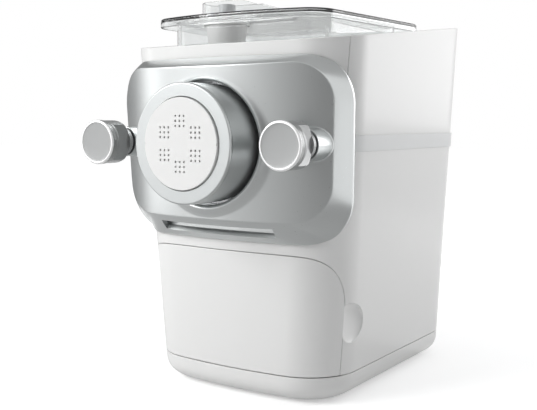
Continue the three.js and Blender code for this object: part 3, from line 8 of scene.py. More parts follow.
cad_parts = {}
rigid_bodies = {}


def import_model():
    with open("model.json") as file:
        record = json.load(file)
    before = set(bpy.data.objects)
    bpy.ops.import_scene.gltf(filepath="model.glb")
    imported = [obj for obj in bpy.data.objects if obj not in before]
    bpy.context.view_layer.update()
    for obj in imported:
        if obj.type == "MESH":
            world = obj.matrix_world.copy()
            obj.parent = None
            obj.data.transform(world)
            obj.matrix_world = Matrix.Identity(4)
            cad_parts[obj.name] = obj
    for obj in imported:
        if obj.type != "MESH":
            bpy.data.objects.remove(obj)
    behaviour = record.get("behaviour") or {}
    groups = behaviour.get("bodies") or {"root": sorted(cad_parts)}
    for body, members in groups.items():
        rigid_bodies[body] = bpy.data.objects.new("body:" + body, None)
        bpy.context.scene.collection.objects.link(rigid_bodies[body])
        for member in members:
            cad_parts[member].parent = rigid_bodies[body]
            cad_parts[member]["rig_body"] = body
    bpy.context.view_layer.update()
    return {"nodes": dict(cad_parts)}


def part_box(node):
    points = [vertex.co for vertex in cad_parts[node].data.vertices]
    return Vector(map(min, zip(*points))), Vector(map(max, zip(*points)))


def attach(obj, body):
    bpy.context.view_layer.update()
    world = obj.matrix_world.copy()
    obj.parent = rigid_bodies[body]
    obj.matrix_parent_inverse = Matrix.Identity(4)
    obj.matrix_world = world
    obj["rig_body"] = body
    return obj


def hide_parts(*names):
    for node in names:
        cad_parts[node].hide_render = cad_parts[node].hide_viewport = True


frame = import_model()
nodes = frame["nodes"]

# Lengths below are millimetres from the front of the cap ring and the floor, as on a drawing.
MM = 0.001
ring_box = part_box("cap_ring")
FRONT = ring_box[0].y
AXIS = (ring_box[0].z + ring_box[1].z) / 2 / MM
RIM_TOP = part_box("main_housing")[1].z / MM
GAP = 0.5  # round pieces that move or come off
FIT = 0.3  # round seated pieces
WALL = 2.5
OVER = 6.0  # how far a cutting form reaches past what it cuts
WELD = 0.05
SHARP = 35  # degrees between faces where an edge stays sharp
SIDES = (-1, 1)

# The housing's envelope: a bowed plan with round corners that widens as it rises
SEAM = 23.8
RIM_FRONT = 290.5
SEAM_HALF, RIM_HALF = 94.7, 112.0
SEAM_FRONT, RIM_FRONT_Y = 58.8, 43.0
SEAM_REAR, RIM_REAR = 312.5, 310.5
FRONT_BOW, REAR_BOW = 453.0, 397.5
FRONT_CORNER, REAR_CORNER = 46.6, 38.2
RIM_SLOPE = (RIM_TOP - RIM_FRONT) / (RIM_REAR - RIM_FRONT_Y)

# Points on half the front, a front corner, a rear corner and half the rear
BODY_STEPS = (18, 26, 20, 12)

# The clamp knobs and the bosses behind them
KNOB_X = 89.5
KNOB_END, BOSS_FRONT = 31.5, 33.4
# Radius and depth from the front of the painted highlight on each knob's chamfer
KNOB_CHAMFER, KNOB_CHAMFER_DEPTH = 16.2, 1.3


def rise(z):
    return (z - SEAM) / (RIM_TOP - SEAM)


def half_at(z):
    return SEAM_HALF + (RIM_HALF - SEAM_HALF) * rise(z)


def front_at(z):
    return SEAM_FRONT + (RIM_FRONT_Y - SEAM_FRONT) * rise(z)


def rear_at(z):
    return SEAM_REAR + (RIM_REAR - SEAM_REAR) * rise(z)


def plan(half, front, rear, bow_f, bow_r, corner_f, corner_r, steps):
    """Closed plan outline of a bowed box, anticlockwise from the front centre."""
    fx = half - corner_f
    fy = front + bow_f - math.sqrt((bow_f - corner_f) ** 2 - fx**2)
    fa = math.atan2(fx, front + bow_f - fy)
    rx = half - corner_r
    ry = rear - bow_r + math.sqrt((bow_r - corner_r) ** 2 - rx**2)
    ra = math.atan2(rx, ry - rear + bow_r)
    right = []

    def arc(x, y, radius, start, end, count):
        for i in range(count):
            a = start + (end - start) * i / count
            right.append((x + radius * math.sin(a), y - radius * math.cos(a)))

    arc(0, front + bow_f, bow_f, 0, fa, steps[0])
    arc(fx, fy, corner_f, fa, math.pi / 2, steps[1])
    right.append((half, fy))
    arc(rx, ry, corner_r, math.pi / 2, math.pi - ra, steps[2])
    arc(0, rear - bow_r, bow_r, math.pi - ra, math.pi, steps[3])
    left = [(-x, y) for x, y in right[:0:-1]]
    return right + [(0.0, rear)] + left


def body_plan(z, inset):
    return plan(half_at(z) - inset, front_at(z) + inset, rear_at(z) - inset, FRONT_BOW - inset,
                REAR_BOW - inset, FRONT_CORNER - inset, REAR_CORNER - inset, BODY_STEPS)


def body_ring(z, inset):
    return [(x, y, z) for x, y in body_plan(z, inset)]


# Mesh making. A form is (points, faces) until it becomes an object.
def loft(rings, cap=True, close=False):
    count = len(rings[0])
    points = [p for ring in rings for p in ring]
    faces = []
    spans = len(rings) if close else len(rings) - 1
    for r in range(spans):
        a, b = r * count, (r + 1) % len(rings) * count
        for i in range(count):
            j = (i + 1) % count
            faces.append((a + i, a + j, b + j, b + i))
    if cap and not close:
        faces.append(tuple(range(count))[::-1])
        faces.append(tuple(range((len(rings) - 1) * count, len(rings) * count)))
    return points, faces


def pointed(rings, low, high):
    """Rings closed by a fan of faces to a point at each end."""
    points, faces = loft(rings, cap=False)
    count, end = len(rings[0]), len(points)
    for i in range(count):
        j = (i + 1) % count
        faces.append((end, j, i))
        faces.append((end + 1, end - count + i, end - count + j))
    return points + [low, high], faces


def block(x, y, z):
    points = [(x[i & 1], y[i >> 1 & 1], z[i >> 2]) for i in range(8)]
    faces = [(0, 2, 3, 1), (4, 5, 7, 6), (0, 1, 5, 4), (2, 6, 7, 3), (0, 4, 6, 2), (1, 3, 7, 5)]
    return points, faces


def turned(profile, centre, axis="Y", sides=128):
    """A profile of (radius, along) turned about an axis: closed on itself, or with both ends on the axis."""
    looped = profile[0] == profile[-1]
    body = profile[:-1] if looped else [p for p in profile if p[0] > 0]

    def at(radius, along, a):
        u, v = radius * math.cos(a), radius * math.sin(a)
        return (centre[0] + u, along, centre[1] - v) if axis == "Y" else (centre[0] + u, centre[1] + v, along)

    rings = [[at(r, along, 2 * math.pi * i / sides) for i in range(sides)] for r, along in body]
    if looped:
        return loft(rings, close=True)
    return pointed(rings, at(0, profile[0][1], 0), at(0, profile[-1][1], 0))


def rod(radius, y, x, z, sides=64):
    return turned([(0, y[0]), (radius, y[0]), (radius, y[1]), (0, y[1])], (x, z), "Y", sides)


def post(radius, z, x, y, sides=48):
    return turned([(0, z[0]), (radius, z[0]), (radius, z[1]), (0, z[1])], (x, y), "Z", sides)


def prism(outline, z):
    return loft([[(x, y, z[0]) for x, y in outline], [(x, y, z[1]) for x, y in outline]])


def prism_x(outline, x):
    """An outline in Y and Z pushed along X."""
    return loft([[(x[0], y, z) for y, z in outline], [(x[1], y, z) for y, z in outline]])


def prism_y(outline, y):
    """An outline in X and Z pushed along Y."""
    return loft([[(x, y[1], z) for x, z in outline], [(x, y[0], z) for x, z in outline]])


def rounded(x, y, radius, steps=10):
    out = []
    for cx, cy, start in ((x[1] - radius, y[0] + radius, -90), (x[1] - radius, y[1] - radius, 0),
                          (x[0] + radius, y[1] - radius, 90), (x[0] + radius, y[0] + radius, 180)):
        for i in range(steps + 1):
            a = math.radians(start + 90 * i / steps)
            out.append((cx + radius * math.cos(a), cy + radius * math.sin(a)))
    return out


def ellipsoid(radii, centre):
    columns, rows = 64, 32
    rings = []
    for r in range(1, rows):
        a = math.pi * r / rows
        rings.append([(centre[0] + radii[0] * math.sin(a) * math.cos(2 * math.pi * i / columns),
                       centre[1] + radii[1] * math.sin(a) * math.sin(2 * math.pi * i / columns),
                       centre[2] - radii[2] * math.cos(a)) for i in range(columns)])
    return pointed(rings, (*centre[:2], centre[2] - radii[2]), (*centre[:2], centre[2] + radii[2]))


def merged(*forms):
    points, faces = [], []
    for p, f in forms:
        base = len(points)
        points += list(p)
        faces += [tuple(base + i for i in face) for face in f]
    return points, faces


def add_object(name, data):
    obj = bpy.data.objects.new(name, data)
    bpy.context.scene.collection.objects.link(obj)
    return obj


def raw_object(name, form):
    points, faces = form
    mesh = bpy.data.meshes.new(name)
    mesh.from_pydata([(x * MM, FRONT + y * MM, z * MM) for x, y, z in points], [], faces)
    mesh.validate()
    mesh.update()
    if volume_of(mesh) < 0:
        mesh.flip_normals()
    return add_object(name, mesh)


def piece(node, form):
    """The new object that stands for a node."""
    return raw_object(node + "_shape", form)


def volume_of(mesh):
    """The volume inside, negative where the faces look inward."""
    bm = bmesh.new()
    bm.from_mesh(mesh)
    volume = bm.calc_volume(signed=True)
    bm.free()
    return volume


def apply_modifiers(obj):
    graph = bpy.context.evaluated_depsgraph_get()
    graph.update()
    old = obj.data
    mesh = bpy.data.meshes.new_from_object(obj.evaluated_get(graph))
    obj.modifiers.clear()
    obj.data = mesh
    bpy.data.meshes.remove(old)


def combine(obj, operation, forms):
    """Works on an object with each form, or other object, in turn."""
    for form in forms:
        tool = raw_object("tool", form) if isinstance(form, tuple) else form
        mod = obj.modifiers.new("form", "BOOLEAN")
        mod.operation = operation
        mod.solver = "MANIFOLD"
        mod.object = tool
        apply_modifiers(obj)
        bpy.data.objects.remove(tool)
    return obj


def cut(obj, *forms):
    return combine(obj, "DIFFERENCE", forms)


def common(obj, *forms):
    return combine(obj, "INTERSECT", forms)


def join(obj, *forms):
    return combine(obj, "UNION", forms)


def weld_points(obj, distance):
    obj.modifiers.new("weld", "WELD").merge_threshold = distance * MM


def round_edges(obj, width, segments, angle, clamp):
    mod = obj.modifiers.new("edge", "BEVEL")
    mod.width = width * MM
    mod.segments = segments
    mod.limit_method = "ANGLE"
    mod.angle_limit = math.radians(angle)
    mod.use_clamp_overlap = clamp
    return mod


def weigh_normals(obj):
    mod = obj.modifiers.new("shade", "WEIGHTED_NORMAL")
    mod.keep_sharp = True
    mod.weight = 80


def dressed(obj, slot, replaces, bevel=0.0, angle=SHARP, weld=0.0):
    """Rounds the edges, smooths the rest and hangs the piece on the body of the node it stands for."""
    if weld:
        weld_points(obj, weld)
        apply_modifiers(obj)
    mesh = obj.data
    mesh.materials.clear()
    mesh.materials.append(MATERIALS[slot])
    mesh.polygons.foreach_set("material_index", [0] * len(mesh.polygons))
    if bevel:
        round_edges(obj, bevel, 3, angle, False).miter_outer = "MITER_ARC"
        apply_modifiers(obj)
    obj.data.polygons.foreach_set("use_smooth", [True] * len(obj.data.polygons))
    smooth_by_angle(obj.data, angle)
    weigh_normals(obj)
    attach(obj, nodes[replaces]["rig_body"])
    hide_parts(replaces)


def split_rim(obj, places):
    """Splits the long faces that look up at these places along X, so that none of them is hooked."""
    bm = bmesh.new()
    bm.from_mesh(obj.data)
    for x in places:
        rim = [face for face in bm.faces if face.normal.z > 0.9]
        edges = list({edge for face in rim for edge in face.edges})
        corners = list({corner for face in rim for corner in face.verts})
        bmesh.ops.bisect_plane(bm, geom=rim + edges + corners, plane_co=(x * MM, 0, 0), plane_no=(1, 0, 0))
    bm.to_mesh(obj.data)
    bm.free()


def smooth_by_angle(mesh, degrees):
    """Marks the edges that stay sharp."""
    bm = bmesh.new()
    bm.from_mesh(mesh)
    limit = math.radians(degrees)
    for edge in bm.edges:
        edge.smooth = len(edge.link_faces) == 2 and edge.calc_face_angle(0) < limit
    bm.to_mesh(mesh)
    bm.free()


# Materials
def new_node(tree, kind):
    return tree.nodes.new("ShaderNode" + kind)


def shader(name, color, roughness, metallic=0.0, **sockets):
    material = bpy.data.materials.new(name)
    material.use_nodes = True
    tree = material.node_tree
    bsdf = tree.nodes["Principled BSDF"]
    bsdf.inputs["Base Color"].default_value = (*color, 1)
    bsdf.inputs["Roughness"].default_value = roughness
    bsdf.inputs["Metallic"].default_value = metallic
    for key, value in sockets.items():
        bsdf.inputs[key.replace("_", " ")].default_value = value
    return material, tree, bsdf


def maths(tree, operation, a, b):
    node = new_node(tree, "Math")
    node.operation = operation
    tree.links.new(a, node.inputs[0])
    if isinstance(b, (int, float)):
        node.inputs[1].default_value = b
    else:
        tree.links.new(b, node.inputs[1])
    return node.outputs[0]


def texture(tree, scale, detail, stretch=(1, 1, 1)):
    where = new_node(tree, "TexCoord")
    place = new_node(tree, "Mapping")
    place.inputs["Scale"].default_value = stretch
    noise = new_node(tree, "TexNoise")
    noise.inputs["Scale"].default_value = scale
    noise.inputs["Detail"].default_value = detail
    tree.links.new(where.outputs["Object"], place.inputs["Vector"])
    tree.links.new(place.outputs["Vector"], noise.inputs["Vector"])
    return noise.outputs["Fac"]


def ramp(tree, value, low, high):
    node = new_node(tree, "MapRange")
    node.inputs["To Min"].default_value = low
    node.inputs["To Max"].default_value = high
    tree.links.new(value, node.inputs["Value"])
    return node.outputs["Result"]


def cloud(tree, bsdf, scale, detail, color, spread):
    """Broad cloudiness in the colour."""
    node = new_node(tree, "Mix")
    node.data_type = "RGBA"
    node.inputs["A"].default_value = (*(c * (1 - spread) for c in color), 1)
    node.inputs["B"].default_value = (*color, 1)
    tree.links.new(texture(tree, scale, detail), node.inputs["Factor"])
    tree.links.new(node.outputs["Result"], bsdf.inputs["Base Color"])


def grain(tree, bsdf, noise, gloss, strength, distance):
    """A fine grain in gloss, from one roughness to another, and in relief."""
    tree.links.new(ramp(tree, noise, *gloss), bsdf.inputs["Roughness"])
    node = new_node(tree, "Bump")
    node.inputs["Strength"].default_value = strength
    node.inputs["Distance"].default_value = distance
    tree.links.new(noise, node.inputs["Height"])
    tree.links.new(node.outputs["Normal"], bsdf.inputs["Normal"])


def plastic(name, color, roughness, vary=0.04, coat=0.0, grain_scale=900.0, spread=0.03):
    """Moulded plastic."""
    material, tree, bsdf = shader(name, color, roughness, Coat_Weight=coat, Coat_Roughness=0.08)
    cloud(tree, bsdf, 14.0, 4.0, color, spread)
    fine = texture(tree, grain_scale, 2.0)
    grain(tree, bsdf, fine, (roughness - vary, roughness + vary), 0.06, 0.00006)
    return material


def metal(name, color, roughness, stretch=(1, 1, 1), metallic=1.0, coat=0.0):
    """Bare metal, brushed where its grain is stretched, or metallic paint."""
    material, tree, bsdf = shader(name, color, roughness, metallic, Coat_Weight=coat, Coat_Roughness=0.12)
    cloud(tree, bsdf, 9.0, 3.0, color, 0.06)
    fine = texture(tree, 700.0, 2.0, stretch)
    grain(tree, bsdf, fine, (roughness - 0.05, roughness + 0.05), 0.05, 0.00005)
    return material


def clear_plastic(name, color, roughness):
    """Clear plastic that lets nine tenths of the light through in shadows and bounced light."""
    material, tree, bsdf = shader(name, color, roughness, Transmission_Weight=1.0, IOR=1.5)
    grain(tree, bsdf, texture(tree, 60.0, 3.0), (roughness * 0.6, roughness * 1.6), 0.03, 0.0001)
    path = new_node(tree, "LightPath")
    indirect = maths(tree, "MAXIMUM", path.outputs["Is Shadow Ray"], path.outputs["Is Diffuse Ray"])
    solid = maths(tree, "MULTIPLY", indirect, -0.9)
    tree.links.new(maths(tree, "ADD", solid, 1.0), bsdf.inputs["Alpha"])
    return material


def knob_paint_and_highlight(name, color, rim, roughness):
    """Satin paint, with a painted highlight: the turned chamfer round the front of each knob is coloured near
    white.
    """
    material = metal(name, color, roughness, metallic=0.55, coat=0.1)
    tree = material.node_tree
    bsdf = tree.nodes["Principled BSDF"]
    base = bsdf.inputs["Base Color"].links[0].from_socket
    where = new_node(tree, "TexCoord")
    split = new_node(tree, "SeparateXYZ")
    tree.links.new(where.outputs["Object"], split.inputs[0])
    side = maths(tree, "ABSOLUTE", split.outputs["X"], 0)
    across = maths(tree, "POWER", maths(tree, "SUBTRACT", side, KNOB_X * MM), 2)
    up = maths(tree, "POWER", maths(tree, "SUBTRACT", split.outputs["Z"], AXIS * MM), 2)
    reach = maths(tree, "SQRT", maths(tree, "ADD", across, up), 0)
    outside = maths(tree, "GREATER_THAN", reach, KNOB_CHAMFER * MM)
    before = maths(tree, "LESS_THAN", split.outputs["Y"], FRONT + KNOB_CHAMFER_DEPTH * MM)
    # Painted highlight: the chamfer ring takes the near-white colour
    mix = new_node(tree, "Mix")
    mix.data_type = "RGBA"
    tree.links.new(maths(tree, "MULTIPLY", outside, before), mix.inputs["Factor"])
    tree.links.new(base, mix.inputs["A"])
    mix.inputs["B"].default_value = (*rim, 1)
    tree.links.new(mix.outputs["Result"], bsdf.inputs["Base Color"])
    return material


MATERIALS = {
    "white_plastic": plastic("white_plastic", (0.86, 0.86, 0.85), 0.32, coat=0.25, spread=0.015),
    "pale_plastic": plastic("pale_plastic", (0.79, 0.80, 0.80), 0.38, coat=0.1),
    "silver_paint": metal("silver_paint", (0.64, 0.66, 0.66), 0.3, coat=0.1),
    "ring_silver": metal("ring_silver", (0.56, 0.58, 0.58), 0.34, coat=0.1, metallic=0.85),
    # The second colour of the knob paint is a painted highlight on each knob's chamfer
    "knob_grey": knob_paint_and_highlight("knob_grey", (0.38, 0.386, 0.386), (0.92, 0.92, 0.92), 0.36),
    "clear_plastic": clear_plastic("clear_plastic", (0.85, 0.86, 0.86), 0.04),
    "funnel_grey": plastic("funnel_grey", (0.56, 0.57, 0.58), 0.35),
    "dark_plastic": plastic("dark_plastic", (0.035, 0.036, 0.04), 0.42, vary=0.06),
    "rubber": plastic("rubber", (0.025, 0.025, 0.025), 0.75, vary=0.08, grain_scale=1500.0),
    "steel": metal("steel", (0.60, 0.61, 0.62), 0.28, stretch=(1, 40, 1)),
    "copper": metal("copper", (0.62, 0.31, 0.17), 0.35, stretch=(1, 60, 60)),
    "gear_plastic": plastic("gear_plastic", (0.76, 0.72, 0.62), 0.45),
    "board_green": plastic("board_green", (0.03, 0.17, 0.08), 0.4, coat=0.4),
}

# Zones that split the envelope, as on the part
COVER_SEAM_Y = 75.0
COVER_BOTTOM = AXIS - 64.0
DRAWER_TOP = 124.0
DRAWER_EDGE = 89.5
DRAWER_CORNER = (35.5, 48.0)
DISH_Z = 66.0
DISH_RADII = (5.5, 26.5, 18.0)
REAR_PANEL_HALF, REAR_PANEL_Z = 62.0, (56.0, 268.0)
FAR = RIM_HALF + 3 * OVER
ACROSS = (-FAR, FAR)


def body_form(inset, low=SEAM - 2 * OVER, high=RIM_TOP + 2 * OVER):
    return loft([body_ring(low, inset), body_ring(high, inset)])


def hollow_form(inset):
    return body_form(inset, SEAM - 3 * OVER, RIM_TOP + 3 * OVER)


def above_rim(drop):
    def rim(y):
        return RIM_FRONT + RIM_SLOPE * (y - RIM_FRONT_Y) - drop
    rear = RIM_REAR + 3 * OVER
    high = RIM_TOP + 4 * OVER
    return prism_x([(0, rim(0)), (rear, rim(rear)), (rear, high), (0, high)], ACROSS)


def shell(node, low):
    """The walls of the envelope, as the start of a piece."""
    obj = piece(node, body_form(0))
    cut(obj, hollow_form(WALL))
    return common(obj, block(ACROSS, (-OVER, RIM_REAR + 4 * OVER), (low, RIM_TOP + OVER)))


def drawer_zone(gap, bottom):
    depth, height = DRAWER_CORNER
    outline = [(0, bottom), (DRAWER_EDGE - gap, bottom)]
    for i in range(25):
        a = math.radians(90 * i / 24)
        outline.append((DRAWER_EDGE - depth + (depth - gap) * math.cos(a),
                        DRAWER_TOP - height + (height - gap) * math.sin(a)))
    outline.append((0, DRAWER_TOP - gap))
    return prism_x(outline, ACROSS)


def cover_zone():
    return block(ACROSS, (-OVER, COVER_SEAM_Y), (COVER_BOTTOM, RIM_TOP + 3 * OVER))


def dish(side, extra=0.0):
    """The hollow in each side where a hand takes the drawer."""
    return ellipsoid([r + extra for r in DISH_RADII], (side * half_at(DISH_Z), DRAWER_EDGE, DISH_Z))


def rear_zone(gap):
    half = REAR_PANEL_HALF - gap
    z = (REAR_PANEL_Z[0] + gap, REAR_PANEL_Z[1] - gap)
    return prism_y(rounded((-half, half), z, 8.0), (RIM_REAR - 62.0, RIM_REAR + 4 * OVER))


def main_housing():
    obj = shell("main_housing", SEAM + FIT)
    behind = block(ACROSS, (DRAWER_EDGE, DRAWER_EDGE + 60), (SEAM + FIT, DRAWER_TOP))
    for side in SIDES:
        join(obj, common(raw_object("pad", dish(side, WALL)), body_form(WALL - FIT), behind))
    cut(obj, above_rim(0), cover_zone(), drawer_zone(0, -OVER), rear_zone(0), dish(-1), dish(1))
    dressed(obj, "white_plastic", "main_housing", 0.5, weld=WELD)


FEET = ("foot_front_left", "foot_front_right", "foot_rear_left", "foot_rear_right")
FOOT_PROFILE = [(0, 0.5), (4.6, 0.5), (5.4, 0), (8.0, 0), (8.5, 0.3), (8.75, 0.9), (9, 2.9), (8.7, 3.2),
                (0, 3.2)]
FOOT_POCKET, FOOT_POCKET_TOP = 9.3, 3.5
SKIRT_BOTTOM, SKIRT_INSET = 2.0, 12
FLOOR_TOP, FLOOR_EDGE = 5, 14.3


def base_skirt():
    """A tray with a rounded lower edge."""
    top, steps = SEAM - FIT, 18
    rings = []
    for i in range(steps + 1):
        share = (i / steps) ** 1.7
        rings.append(body_ring(SKIRT_BOTTOM + (top - SKIRT_BOTTOM) * share, SKIRT_INSET * (1 - share) ** 3.8))
    obj = piece("base_skirt", loft(rings))
    room = [body_ring(FLOOR_TOP, SKIRT_INSET), body_ring(FLOOR_EDGE, WALL), body_ring(top + OVER, WALL)]
    cut(obj, loft(room))
    for node in FEET:
        cut(obj, post(FOOT_POCKET, (0, FOOT_POCKET_TOP), *middle_of(node)))
    dressed(obj, "white_plastic", "base_skirt", 0.4, weld=WELD)


def middle_of(node):
    low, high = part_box(node)
    return (low.x + high.x) / 2 / MM, ((low.y + high.y) / 2 - FRONT) / MM


def foot(node):
    dressed(piece(node, turned(FOOT_PROFILE, middle_of(node), "Z", 64)), "rubber", node)


# The socket behind the panel that holds the tube, and the places that split the rim
SOCKET_RADIUS = 58
SOCKET_PROFILE = [(SOCKET_RADIUS, 27), (60.5, 27), (60.5, 56.5), (36.6, 56.5), (36.6, 73.7), (33.6, 73.7),
                  (33.6, 54), (SOCKET_RADIUS, 54), (SOCKET_RADIUS, 27)]
RIM_PLACES = range(-95, 96, 10)


def front_cover():
    obj = shell("front_cover", COVER_BOTTOM + FIT)
    common(obj, block(ACROSS, (-OVER, COVER_SEAM_Y - GAP), (0, RIM_TOP + OVER)))
    join(obj, common(raw_object("socket", turned(SOCKET_PROFILE, (0, AXIS))), body_form(FIT)))
    cut(obj, above_rim(0), rod(SOCKET_RADIUS, (0, 54), 0, AXIS, 128))
    for side in SIDES:
        cut(obj, rod(4.5, (0, 74), side * KNOB_X, AXIS, 32))
    split_rim(obj, RIM_PLACES)
    dressed(obj, "white_plastic", "front_cover", 0.5, weld=WELD)


def drawer_front():
    obj = shell("drawer_front", SEAM + GAP)
    common(obj, drawer_zone(GAP, SEAM + GAP))
    dressed(obj, "white_plastic", "drawer_front", 0.6, weld=WELD)


BAND_PROUD, BAND_HALF = 1.3, 6.5
BAND_X, BAND_Y = 66.0, 79


def side_band(side, node):
    obj = piece(node, body_form(-BAND_PROUD))
    cut(obj, hollow_form(-FIT))
    ends = sorted((side * BAND_X, side * (FAR + OVER)))
    common(obj, block(ends, (BAND_Y, RIM_REAR + 2 * OVER), (AXIS - BAND_HALF, AXIS + BAND_HALF)))
    dressed(obj, "pale_plastic", node, 0.3, weld=WELD)


VENTS, VENT_LOW, VENT_PITCH, VENT_HALF = 8, 104.0, 8, 42
INLET_HALF, INLET_Z = 15, (66, 90)


def rear_cover():
    obj = shell("rear_cover", SEAM)
    common(obj, rear_zone(GAP))
    reach = (RIM_REAR - 4 * OVER, RIM_REAR + 4 * OVER)
    for i in range(VENTS):
        low = VENT_LOW + VENT_PITCH * i
        cut(obj, prism_y(rounded((-VENT_HALF, VENT_HALF), (low, low + 3), 1.45, 6), reach))
    cut(obj, prism_y(rounded((-INLET_HALF, INLET_HALF), INLET_Z, 1.5, 6), reach))
    dressed(obj, "white_plastic", "rear_cover", 0.4, weld=WELD)


# The console lies on a slope behind a step in the deck: its pieces are drawn flat and laid on it.
DECK = (278, 281)
DECK_FRONT, DECK_STEP = 75.5, 233
CONSOLE_Y = 270.5
CONSOLE_ANGLE = math.atan(RIM_SLOPE)
CONSOLE_Z = RIM_FRONT + RIM_SLOPE * (CONSOLE_Y - RIM_FRONT_Y) - 1.5
CONSOLE_HALF, CONSOLE_DEPTH, CONSOLE_CORNER = 70, 26, 5
BUTTONS = {"power_button": -56.0, "program_button": 14.0, "weigh_button": 28.0, "time_button": 42.0,
           "start_button": 56.0}
BUTTON_PROFILE = [(0, -4.7), (4.8, -4.7), (6, -3.5), (6, 0.15), (5.92, 0.45), (5.7, 0.68), (5.4, 0.79),
                  (5.1, 0.8), (4.7, 0.76), (4.2, 0.66), (3.2, 0.5), (1.8, 0.4), (0.8, 0.37), (0, 0.36)]
WINDOW_X, WINDOW_HALF, WINDOW_DEPTH, WINDOW_CORNER = -20.3, 25.7, 10.7, 1.6
WINDOW_EDGE = ((0.2, -0.9), (0, -0.7), (0, -0.35), (0.12, -0.12), (0.4, 0))


def top_deck():
    low, high = DECK[0] - 18, RIM_TOP + OVER
    plate = raw_object("plate", block(ACROSS, (DECK_FRONT, RIM_REAR + OVER), DECK))
    cut(plate, prism(rounded((-81.5, 81.5), (-20, 229.2), 3), (DECK[0] - OVER, DECK[1] + OVER)))
    join(plate, block(ACROSS, (DECK_STEP, RIM_REAR + OVER), (DECK[0], high)))
    outer = piece("top_deck", body_form(WALL + FIT))
    common(outer, plate)
    cut(outer, above_rim(1.5))
    inner = raw_object("inner", body_form(2 * WALL + FIT, low, RIM_TOP + 3 * OVER))
    common(inner, block(ACROSS, (DECK_STEP + WALL, RIM_REAR + OVER), (low, high)))
    cut(inner, above_rim(4.5))
    seat = console_plate(CONSOLE_HALF + FIT, CONSOLE_DEPTH + FIT, CONSOLE_CORNER + FIT, (-2, 8))
    cut(outer, inner, seat, console_plate(66, 22.3, 3, (-8, 8)))
    cut(outer, rod(2.1, (229, 242), 58, 288.5, 24))
    dressed(outer, "white_plastic", "top_deck", 0.4, weld=WELD)


def on_slope(form):
    points, faces = form
    c, s = math.cos(CONSOLE_ANGLE), math.sin(CONSOLE_ANGLE)
    return [(x, CONSOLE_Y + y * c - z * s, CONSOLE_Z + y * s + z * c) for x, y, z in points], faces


def console_plate(half, depth, corner, z):
    return on_slope(prism(rounded((-half, half), (-depth, depth), corner), z))


def control_panel():
    obj = piece("control_panel", console_plate(CONSOLE_HALF, CONSOLE_DEPTH, CONSOLE_CORNER, (-1.7, 0)))
    half, depth = WINDOW_HALF + FIT, WINDOW_DEPTH + FIT
    window = rounded((WINDOW_X - half, WINDOW_X + half), (-depth, depth), WINDOW_CORNER)
    cut(obj, on_slope(prism(window, (-1.2, 4))))
    for x in BUTTONS.values():
        cut(obj, on_slope(post(6.3, (-6, 4), x, 0, 64)))
    for x in (-61, 61):
        for y in (-15.5, 15.5):
            join(obj, on_slope(post(2.5, (-8.7, -1.2), x, y, 24)))
    dressed(obj, "pale_plastic", "control_panel", 0.3)


def display_window():
    rings = []
    for inset, z in WINDOW_EDGE:
        across = (WINDOW_X - WINDOW_HALF + inset, WINDOW_X + WINDOW_HALF - inset)
        outline = rounded(across, (inset - WINDOW_DEPTH, WINDOW_DEPTH - inset), WINDOW_CORNER - inset)
        rings.append([(x, y, z) for x, y in outline])
    dressed(piece("display_window", on_slope(loft(rings))), "dark_plastic", "display_window")


def button(node):
    form = on_slope(turned(BUTTON_PROFILE, (BUTTONS[node], 0), "Z", 64))
    dressed(piece(node, form), "white_plastic", node)


# Silver front panel: one skin of rows round the axis, from the hoop out to the rim and back behind
PANEL_BOW = 212.0
PANEL_FACE, PANEL_RIM = 27.5, 65.5
CREASE_BOTTOM, RIM_BOTTOM = 61, 79
# Half width, top, arch of the top, bottom and corner radius of each outline, from the axis
CREASE = (102.7, 60.2, 2, CREASE_BOTTOM, 30)
RIM = (113.4, 68.2, 0, RIM_BOTTOM, 38)
BACK_RIM = (110.4, 65.2, 0, 76, 35)
CREASE_SOFT, BEVEL_BULGE, RIM_SOFT = 2.2, 0.7, 1.3
HOOP_INNER, HOOP_LIP, HOOP_FACE = 49.5, 2.8, 27.6
HOOP_RADII = (49.5, 49.53, 49.62, 49.8, 50.05, 50.4, 50.8, 51.3, 51.8, 52.4, 53.1, 53.8, 54.6, 55.5, 56.5,
              57.7, 59)
# Radius and depth of the sleeve behind the hoop
SLEEVE = ((55.4, 46.2), (54.9, 46.7), (49.8, 46.7), (HOOP_INNER, 46.4))
GRIP_HALF = 56


def lean_at(z):
    return front_at(z) - front_at(AXIS)


def spread_at(z):
    return (1 + half_at(z) / half_at(AXIS)) / 2


def face_y(x, z):
    return PANEL_FACE + lean_at(z) + PANEL_BOW - math.sqrt(PANEL_BOW**2 - min(abs(x), PANEL_BOW - 1) ** 2)


def front_surface(x, z):
    """The front of the envelope: a bow with round corners."""
    half, front = half_at(z), front_at(z)
    corner_x = half - FRONT_CORNER
    corner_y = front + FRONT_BOW - math.sqrt((FRONT_BOW - FRONT_CORNER) ** 2 - corner_x**2)
    split = FRONT_BOW * math.sin(math.atan2(corner_x, front + FRONT_BOW - corner_y))
    across = abs(x)
    if across <= split:
        return front + FRONT_BOW - math.sqrt(FRONT_BOW**2 - across**2)
    offset = min(across - corner_x, FRONT_CORNER)
    return corner_y - math.sqrt(FRONT_CORNER**2 - offset**2)


def rim_y(x, z):
    return min(front_surface(x, z) - 3.2, PANEL_RIM + lean_at(z))


def panel_outline(half, top, arch, bottom, corner):
    """A closed outline in X and Z, anticlockwise as seen from the front, with round corners."""
    steps = 40
    columns = []
    for i in range(steps):
        a = math.pi / 2 * i / steps
        columns.append((-half + corner - corner * math.cos(a), corner - corner * math.sin(a)))
    flat = half - corner
    columns += [(-flat + 2 * flat * i / steps, 0.0) for i in range(steps + 1)]
    columns += [(-x, drop) for x, drop in columns[steps - 1::-1]]
    low = [(x, AXIS - bottom + drop) for x, drop in columns]
    high = [(x, AXIS + (top + arch * (x / KNOB_X) ** 2) - drop) for x, drop in columns]
    return [(x * spread_at(z), z) for x, z in low + high[::-1]]


